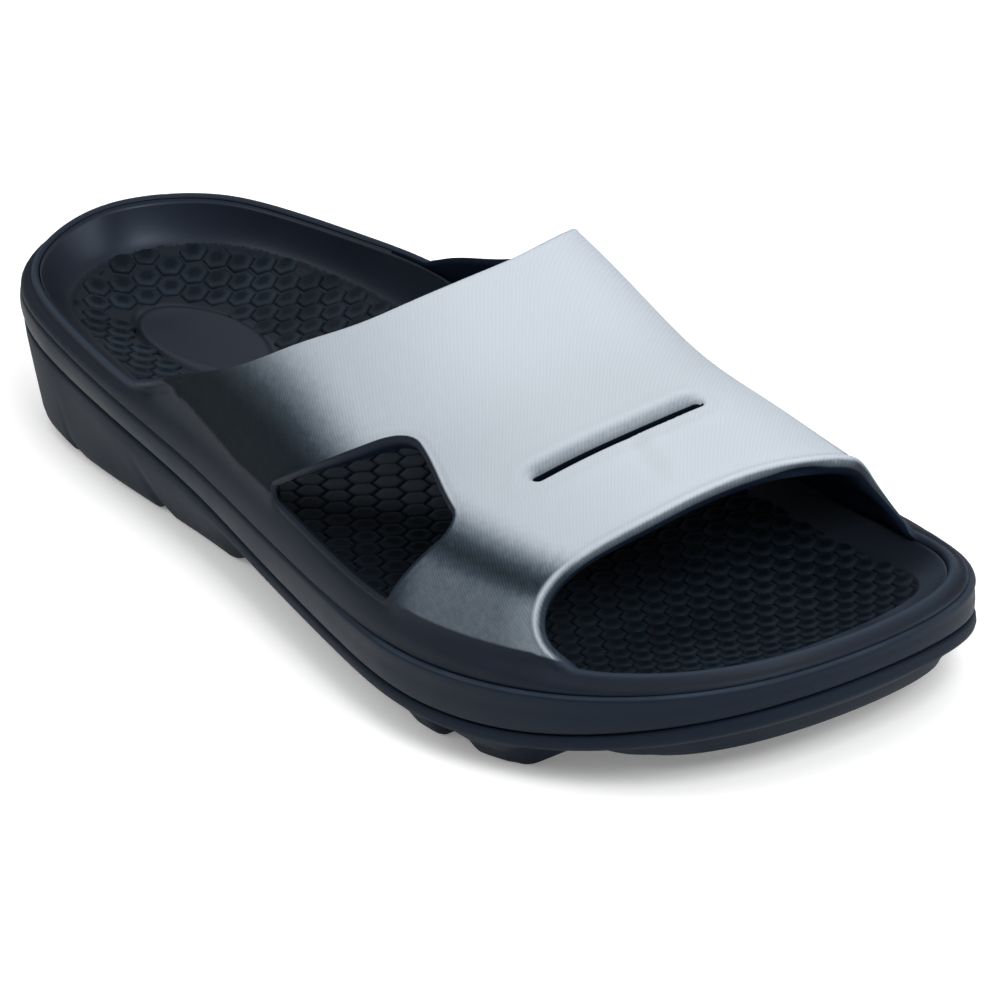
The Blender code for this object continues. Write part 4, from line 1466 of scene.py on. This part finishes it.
    def offset_loop(self, loop: np.ndarray, distance: float, outward: float) -> np.ndarray:
        """Loop moved away from its opening by a distance measured on the real surface.

        Args:
            loop: The loop on the map.
            distance: How far, in metres.
            outward: 1 or -1, the side that faces away from the opening.

        Returns:
            The moved loop.
        """
        tangent = np.roll(loop, -1, axis=0) - np.roll(loop, 1, axis=0)
        tangent /= np.linalg.norm(tangent, axis=1)[:, None] + 1e-12
        normal = np.column_stack([tangent[:, 1], -tangent[:, 0]]) * outward
        probe = 0.0002
        here = self.raise_map(loop)[0]
        there = self.raise_map(loop + normal * probe)[0]
        scale = np.clip(np.linalg.norm(there - here, axis=1) / probe, 0.6, 4.0)
        for _ in range(4):
            scale = (scale * 2 + np.roll(scale, 1) + np.roll(scale, -1)) / 4
        return loop + normal * (distance / scale)[:, None]

    def divide(self) -> tuple[np.ndarray, np.ndarray, dict[str, np.ndarray]]:
        """Divides the face on the map into triangles that follow every edge.

        Returns:
            Map points, triangles, and the loops by name.
        """
        loops = self.loops()
        edges = []
        rings = []
        total = 0
        for name, loop in loops.items():
            count = len(loop)
            edges += [(total + i, total + (i + 1) % count) for i in range(count)]
            total += count
            ahead = np.roll(loop, -1, axis=0)
            area = np.sum(loop[:, 0] * ahead[:, 1] - ahead[:, 0] * loop[:, 1])
            outward = 1.0 if (area > 0) != (name == "foot") else -1.0
            steps = self.foot_steps if name == "foot" else self.lip_steps
            rings += [self.offset_loop(loop, step, outward) for step in steps]
        low = loops["foot"].min(0)
        high = loops["foot"].max(0)
        grid = []
        y = low[1]
        while y < high[1]:
            x = np.arange(low[0] + (len(grid) % 2) * self.spacing / 2, high[0], self.spacing)
            grid.append(np.column_stack([x, np.full(len(x), y)]))
            y += self.spacing * 0.9
        fixed = np.concatenate(list(loops.values()))
        for points, gap in ((np.concatenate(rings), 0.00016), (np.concatenate(grid), self.spacing * 0.62)):
            fixed = np.concatenate([fixed, thin(points[self.in_face(loops, points)], fixed, gap)])
        result = geometry.delaunay_2d_cdt([Vector(p) for p in fixed], edges, [], 0, 1e-7)
        plan = np.array([tuple(v) for v in result[0]])
        tris = np.array([tuple(f) for f in result[2]])
        return plan, tris[self.in_face(loops, plan[tris].mean(1))], loops

    @staticmethod
    def in_face(loops: dict[str, np.ndarray], plan: np.ndarray) -> np.ndarray:
        """Which map points lie inside the foot loop and outside every opening.

        Args:
            loops: The loops by name.
            plan: Points on the map.

        Returns:
            One flag for each point.
        """
        keep = inside_many(loops["foot"], plan)
        for name, loop in loops.items():
            if name != "foot":
                keep &= ~inside_many(loop, plan)
        return keep

    def build(self, film: bpy.types.Material) -> None:
        """Builds the shell and dresses it in film and bare foam.

        Args:
            film: Its finish.
        """
        plan, tris, loops = self.divide()
        points, turn, down = self.raise_map(plan)
        on_loop = np.arange(len(plan)) < sum(len(loop) for loop in loops.values())
        points = relax(points, tris, on_loop, 3)
        normal = face_normals(points, tris)
        near = {name: loop_distance(self.raise_map(loop)[0], points) for name, loop in loops.items()}
        lips = np.minimum.reduce([near[name] for name in ("mouth", "opening", "window", "slot")])
        share = self.form.share(points[:, 1])
        side = np.minimum(turn, 1 - turn)
        wall = self.rim_wall + (self.vamp_wall - self.rim_wall) * smooth(side, 0.02, 0.14)
        along_slot = (points[:, 0] - self.slot_x()) / self.slot_length
        behind = points[:, 1] < self.slot_y() - self.slot_bow * 4 * along_slot ** 2
        # Lips are rounded to half the wall, less at the window and least before the slot
        radius = np.minimum(wall * 0.5, 0.0017)
        radius = np.where(near["window"] < 0.004, 0.0011, radius)
        radius = np.where(near["slot"] < 0.004, np.where(behind, 0.0012, 0.0005), radius)
        t = np.clip(1 - lips / radius, 0, 1)
        fall = radius * (1 - np.sqrt(np.clip(1 - t * t, 0, 1)))
        behind = behind * (1 - smooth(np.abs(along_slot), 0.42, 0.54))
        rise = self.bead(near, share, turn) - self.slot_dip * behind * smooth(near["slot"], 0.0028, 0.0016)
        outer = points + normal * (rise - fall)[:, None]
        inner = self.clear_foot(points - normal * (wall - fall)[:, None], plan, near["foot"])
        obj = self.shell(tris, outer, inner)
        tone, border = self.film(turn, share, down, near, behind)
        # Painted highlight along the lips' crests on the rim
        crest = bell(np.minimum(near["mouth"], near["opening"]), 0.0009, 0.0007)
        crest *= 1 - smooth(side, 0.005, 0.03)
        # Outer face first, then the inner one, which is bare and has no painted edge highlight
        for name, values, within in (("tone", tone, tone), ("border", border, np.full(len(plan), -1.0)),
                                     ("edge", crest, crest * 0), ("welt", near["window"], near["window"])):
            mark(obj, name, np.concatenate([values, within]))
        # Threads keep their width down the sides, because the map's x is stretched for them
        flat = np.zeros((len(plan), 3))
        flat[:, 0] = (self.form.ridge(plan[:, 1]) - plan[:, 0]) * self.weave_spread
        flat[:, 1] = plan[:, 1]
        weave = obj.data.attributes.new("weave", "FLOAT_VECTOR", "POINT")
        weave.data.foreach_set("vector", np.concatenate([flat, flat]).astype(np.float32).ravel())
        finish_piece(obj, film, "upper", "upper")

    def bead(self, near: dict[str, np.ndarray], share: np.ndarray, turn: np.ndarray) -> np.ndarray:
        """Small bead along the rim's inner edge with a shallow groove outside it.

        Args:
            near: Distances to the openings.
            share: Places along the length.
            turn: Turns over the instep.

        Returns:
            Heights above the plain face in metres.
        """
        mouth, toe, welt = near["mouth"], near["opening"], near["window"]
        on_rim = 1 - smooth(np.minimum(turn, 1 - turn), 0.01, 0.06)
        inner_side = np.where(turn > 0.5, 0.4, 1.0)
        relief = 0.00030 * bell(mouth, 0.0008, 0.0007)
        relief -= 0.00075 * bell(mouth, 0.0024, 0.0008) * on_rim * inner_side
        relief += 0.00042 * bell(toe, 0.0010, 0.0009) - 0.00030 * bell(toe, 0.0030, 0.0009)
        relief += 0.0002 * bell(near["slot"], 0.0038, 0.0012)
        relief += 0.0003 * bell(welt, 0.0007, 0.0005) - 0.0004 * bell(welt, 0.0016, 0.0005)
        return relief + self.creases(turn, share)

    def creases(self, turn: np.ndarray, share: np.ndarray) -> np.ndarray:
        """Soft crease where the vamp leaves the rim, and the wrinkle before the slot.

        Args:
            turn: Turns over the instep.
            share: Places along the length.

        Returns:
            Heights above the plain face in metres.
        """
        line = np.interp(share, [0.36, 0.40, 0.457, 0.502], [0.033, 0.028, 0.017, 0.009])
        along = smooth(share, 0.36, 0.38) - smooth(share, 0.49, 0.52)
        bend = np.interp(share, [0.802, 0.830, 0.860], [0.451, 0.444, 0.438])
        length = smooth(share, 0.808, 0.822) - smooth(share, 0.845, 0.864)
        wrinkle = 0.5 * bell(turn, bend + 0.022, 0.012) - bell(turn, bend, 0.010)
        return self.crease_rise * bell(turn, line, 0.0055) * along + self.wrinkle_depth * wrinkle * length

    def clear_foot(self, inner: np.ndarray, plan: np.ndarray, foot: np.ndarray) -> np.ndarray:
        """Keeps the inner face above the midsole, and seats its edge on it.

        Args:
            inner: Points of the inner face.
            plan: Their places on the map.
            foot: Their distances from the skirt's foot.

        Returns:
            The points in place.
        """
        def floor(y: np.ndarray) -> np.ndarray:
            """Height of the midsole's top with its clearance."""
            return self.form.rim_groove(y) + self.foot_gap

        seat = self.rim.ring.inset(0.0004 + self.rim_wall, floor)
        low = foot < 1e-6
        inner[low] = self.ring_value(seat, self.nearest_top(plan[low])[1])
        inner[:, 2] = np.maximum(inner[:, 2], floor(inner[:, 1]))
        return inner

    @staticmethod
    def shell(tris: np.ndarray, outer: np.ndarray, inner: np.ndarray) -> bpy.types.Object:
        """Closed shell from the outer and the inner face.

        Args:
            tris: Triangles of a face.
            outer: Points of the outer face.
            inner: Points of the inner face.

        Returns:
            The piece.
        """
        count = len(outer)
        used = dict.fromkeys(side for a, b, c in tris.tolist() for side in ((a, b), (b, c), (c, a)))
        faces = [tuple(t) for t in tris.tolist()]
        faces += [(c + count, b + count, a + count) for a, b, c in tris.tolist()]
        faces += [(j, i, i + count, j + count) for i, j in used if (j, i) not in used]
        obj = add_mesh("upper_shell", np.concatenate([outer, inner]), faces)
        bpy.ops.object.mode_set(mode="EDIT")
        bpy.ops.mesh.select_all(action="SELECT")
        bpy.ops.mesh.normals_make_consistent(inside=False)
        bpy.ops.object.mode_set(mode="OBJECT")
        bpy.ops.object.shade_smooth()
        return obj

    def film(self, turn: np.ndarray, share: np.ndarray, down: np.ndarray, near: dict[str, np.ndarray],
             behind_slot: np.ndarray) -> tuple[np.ndarray, np.ndarray]:
        """Print tone of the film with a painted highlight on the toe lip and painted shade at its very edge
        and behind the slot, and its distance from its border.

        Args:
            turn: Turn over the instep.
            share: Place along the length.
            down: How far down the rim's skirt.
            near: Distances to the openings.
            behind_slot: Which points lie behind the slot.

        Returns:
            Tone from 0 to 1, and distance above the film's lower border in metres.
        """
        side = np.minimum(turn, 1 - turn)
        rear = 0.06 + 0.80 * smooth(side, 0.08, 0.24) + 0.14 * smooth(side, 0.20, 0.46)
        patch = self.patch_tone + 0.14 * smooth(share, 0.84, 0.87)
        front = (patch * (1 - smooth(side, 0.115, 0.165)) + self.smudge_tone
                 + (0.92 - self.smudge_tone) * smooth(side, 0.160, 0.262) + 0.08 * smooth(side, 0.25, 0.46))
        mix = smooth(share, 0.735, 0.785)
        tone = rear * (1 - mix) + front * mix
        # Painted highlight: the toe lip is painted pale
        lip_highlight = bell(near["opening"], 0.0011, 0.0010) * smooth(side, 0.004, np.where(turn > 0.5, 0.09, 0.02))
        tone = np.maximum(tone, 0.86 * lip_highlight)
        # Painted shade at the lip's very edge
        tone *= 0.35 + 0.65 * smooth(near["opening"], 0.0001, 0.0009)
        tone -= self.slot_shade * behind_slot * np.exp(-(near["slot"] / 0.0023) ** 4)
        low = np.interp(share, [0.37, 0.457, 0.502, 0.70, 0.86, 0.88],
                        [0.031, 0.017, 0.010, 0.014, 0.016, 0.010])
        rise = np.sin(side * math.pi) ** self.form.fullness - np.sin(low * math.pi) ** self.form.fullness
        border = rise * self.base_rise - down * self.skirt
        # The print stops at the crest of the toe lip, and there is none past the vamp's two ends
        border = np.minimum(border, near["opening"] + 0.0001)
        border = np.where(self.past_vamp(share), -0.01, border)
        return np.clip(tone, 0, 1), border


def add_mesh(name: str, points: np.ndarray, faces: Sequence[Sequence[int]]) -> bpy.types.Object:
    """New piece from points and faces, picked.

    Args:
        name: The piece's name.
        points: Its vertices.
        faces: Its faces.

    Returns:
        The piece.
    """
    mesh = bpy.data.meshes.new(name)
    mesh.from_pydata(points.tolist(), [], faces)
    obj = bpy.data.objects.new(name, mesh)
    bpy.context.scene.collection.objects.link(obj)
    pick(obj)
    return obj


def chunks(count: int) -> Iterator[slice]:
    """Slices that together cover a number of points."""
    for first in range(0, count, CHUNK):
        yield slice(first, first + CHUNK)


def inside_many(outline: np.ndarray, plan: np.ndarray) -> np.ndarray:
    """Which plan points lie inside a closed outline.

    Args:
        outline: The outline's points.
        plan: The points to test.

    Returns:
        One flag for each point.
    """
    ax, ay = outline[:, 0], outline[:, 1]
    bx, by = np.roll(ax, -1), np.roll(ay, -1)
    found = np.zeros(len(plan), bool)
    for part in chunks(len(plan)):
        x, y = plan[part, :1], plan[part, 1:]
        crosses = ((ay > y) != (by > y)) & (x < (bx - ax) * (y - ay) / (by - ay + 1e-15) + ax)
        found[part] = crosses.sum(1) % 2 == 1
    return found


def thin(points: np.ndarray, kept: np.ndarray, gap: float) -> np.ndarray:
    """Drops points that lie nearer than a gap to the kept ones.

    Args:
        points: The points.
        kept: Points that stay.
        gap: Smallest distance.

    Returns:
        The points that are left.
    """
    near = np.full(len(points), np.inf)
    for part in chunks(len(points)):
        for other in chunks(len(kept)):
            away = np.linalg.norm(points[part][:, None] - kept[None, other], axis=2)
            near[part] = np.minimum(near[part], away.min(1))
    return points[near > gap]


def relax(points: np.ndarray, tris: np.ndarray, fixed: np.ndarray, rounds: int) -> np.ndarray:
    """Eases a face's kinks by moving each free vertex towards its neighbours' mean.

    Args:
        points: Vertices of the face.
        tris: Its triangles.
        fixed: Which vertices stay.
        rounds: How often.

    Returns:
        The moved vertices.
    """
    pairs = np.concatenate([tris[:, [0, 1]], tris[:, [1, 2]], tris[:, [2, 0]]])
    pairs = np.concatenate([pairs, pairs[:, ::-1]])
    points = points.copy()
    for _ in range(rounds):
        total = np.zeros_like(points)
        count = np.zeros(len(points))
        np.add.at(total, pairs[:, 0], points[pairs[:, 1]])
        np.add.at(count, pairs[:, 0], 1)
        mean = total / np.maximum(count, 1)[:, None]
        points[~fixed] += (mean - points)[~fixed] * 0.5
    return points


def face_normals(points: np.ndarray, tris: np.ndarray) -> np.ndarray:
    """Outward vertex normals of a face, weighted by area.

    Args:
        points: Vertices of the face.
        tris: Its triangles.

    Returns:
        Unit normals.
    """
    a, b, c = points[tris[:, 0]], points[tris[:, 1]], points[tris[:, 2]]
    flat = np.cross(b - a, c - a)
    normal = np.zeros_like(points)
    for corner in range(3):
        np.add.at(normal, tris[:, corner], flat)
    normal /= np.linalg.norm(normal, axis=1)[:, None] + 1e-15
    if normal[:, 2].mean() < 0:
        normal = -normal
    return normal


def loop_distance(loop: np.ndarray, points: np.ndarray) -> np.ndarray:
    """Distance in space from points to a closed loop.

    Args:
        loop: The loop's points.
        points: The points to measure from.

    Returns:
        One distance for each point.
    """
    step = np.roll(loop, -1, axis=0) - loop
    length2 = (step ** 2).sum(1) + 1e-15
    found = np.zeros(len(points))
    for part in chunks(len(points)):
        rel = points[part][:, None, :] - loop[None]
        t = np.clip((rel * step[None]).sum(2) / length2, 0, 1)
        found[part] = np.linalg.norm(rel - t[:, :, None] * step[None], axis=2).min(1)
    return found


@dataclass
class Studio:
    """Floor, lights and the camera at the photograph's place."""

    azimuth: float = 151.43
    elevation: float = 24.57
    roll: float = -7.67
    place: tuple[float, float, float] = (0.46803, 0.886931, 0.466485)
    lens: float = 186.11
    horizon: float = 0.20
    zenith: float = 1.45
    shift_x: float = 0.00586
    shift_y: float = 0.00367

    def build(self) -> None:
        """Sets up the whole studio, with a plain print-like tone curve."""
        bpy.context.scene.view_settings.view_transform = "Standard"
        self.add_camera()
        self.add_floor()
        self.add_lights()

    def add_camera(self) -> None:
        """Camera at the photograph's viewing angle."""
        a, e, r = (math.radians(v) for v in (self.azimuth, self.elevation, self.roll))
        back = Vector((math.sin(a) * math.cos(e), -math.cos(a) * math.cos(e), math.sin(e)))
        level = Vector((math.cos(a), math.sin(a), 0.0))
        lift = back.cross(level)
        right = level * math.cos(r) + lift * math.sin(r)
        up = lift * math.cos(r) - level * math.sin(r)
        data = bpy.data.cameras.new("photo_camera")
        data.lens = self.lens
        data.sensor_width = 36.0
        data.shift_x = self.shift_x
        data.shift_y = self.shift_y
        data.clip_end = 20.0
        camera = bpy.data.objects.new("photo_camera", data)
        turn = Matrix((right, up, back)).transposed().to_4x4()
        camera.matrix_world = Matrix.Translation(self.place) @ turn
        bpy.context.scene.collection.objects.link(camera)
        bpy.context.scene.camera = camera

    def add_floor(self) -> None:
        """Large sheet of white paper."""
        deselect_all()
        bpy.ops.mesh.primitive_plane_add(size=14.0, location=(0, 0, -0.0002))
        floor = bpy.context.object
        floor.name = "studio_floor"
        settle(floor)
        floor.data.materials.append(StudioPaper().build())

    def add_lights(self) -> None:
        """Surround that brightens upwards, and soft lights at the front, heel and toe."""
        world = bpy.data.worlds.new("studio_world")
        world.use_nodes = True
        tree = world.node_tree
        way = tree.nodes.new("ShaderNodeTexCoord")
        parts = tree.nodes.new("ShaderNodeSeparateXYZ")
        steep = tree.nodes.new("ShaderNodeMath")
        steep.operation = "POWER"
        steep.inputs[1].default_value = 2.0
        level = tree.nodes.new("ShaderNodeMapRange")
        level.inputs[3].default_value = self.horizon
        level.inputs[4].default_value = self.zenith
        tree.links.new(way.outputs["Generated"], parts.inputs[0])
        tree.links.new(parts.outputs[2], steep.inputs[0])
        tree.links.new(steep.outputs[0], level.inputs[0])
        tree.links.new(level.outputs[0], tree.nodes["Background"].inputs["Strength"])
        tree.nodes["Background"].inputs["Color"].default_value = (1, 1, 1, 1)
        bpy.context.scene.world = world
        # Glow on the instep and the pods, light on the heel, and the toe's inner side
        self.add_area("front_softbox", (0.13, 0.98, 0.84), (0.0, 0.0, 0.02), 0.45, 9.0)
        self.add_area("heel_softbox", (0.90, -0.70, 0.95), (0.0, -0.05, 0.02), 0.7, 3.0)
        self.add_area("toe_softbox", (-1.00, 0.60, 0.18), (0.0, 0.10, 0.02), 0.5, 6.5)

    @staticmethod
    def add_area(name: str, place: Sequence[float], aim: Sequence[float], size: float,
                 power: float) -> None:
        """Adds a square soft light.

        Args:
            name: Its name.
            place: Where it stands.
            aim: What it faces.
            size: Length of its sides in metres.
            power: Its power in watts.
        """
        data = bpy.data.lights.new(name, "AREA")
        data.size = size
        data.energy = power
        light = bpy.data.objects.new(name, data)
        light.location = place
        light.rotation_euler = (Vector(place) - Vector(aim)).to_track_quat("Z", "Y").to_euler()
        bpy.context.scene.collection.objects.link(light)


def main() -> None:
    """Builds the sandal piece by piece, then the studio."""
    logging.basicConfig(level=logging.INFO, format="%(name)s %(message)s")
    form = FootForm()
    rim = RimForm(form)
    # Dull rubbery foam: the sole reads as one dark, soft body near the floor
    sole = MouldedFoam("moulded_eva_foam_outsole", gloss=Gloss.MATT)
    # Dark navy foam with an eggshell skin: a broad soft glow along the band
    band = MouldedFoam("moulded_eva_foam_navy")
    # Smoother, bluer skin: the heel cup's wall glows where it turns to the light
    cup = MouldedFoam("moulded_eva_foam_footbed", light="#0C1422", dark="#080E18", shine=0.42,
                      gloss=Gloss.SHEEN)
    # Satin pods with painted grey highlights at their rims: the field sparkles a little over its dark
    # ground
    pods = MouldedFoam("moulded_eva_foam_pods", light="#0E161E", dark="#090E14", edge_highlight="#2A333D",
                       index=1.14, shine=0.5, gloss=Gloss.SATIN)
    # Matt printed twill that fades from ice grey to near black, with satin bare foam below it
    film = WovenFilm("printed_polyester_twill_on_foam")
    Outsole(form).build(sole.build())
    Midsole(form).build(band.build())
    Footbed(form, rim).build(cup.build(), pods.build())
    Upper(form, rim).build(film.build())
    Studio().build()


if __name__ == "__main__":
    main()
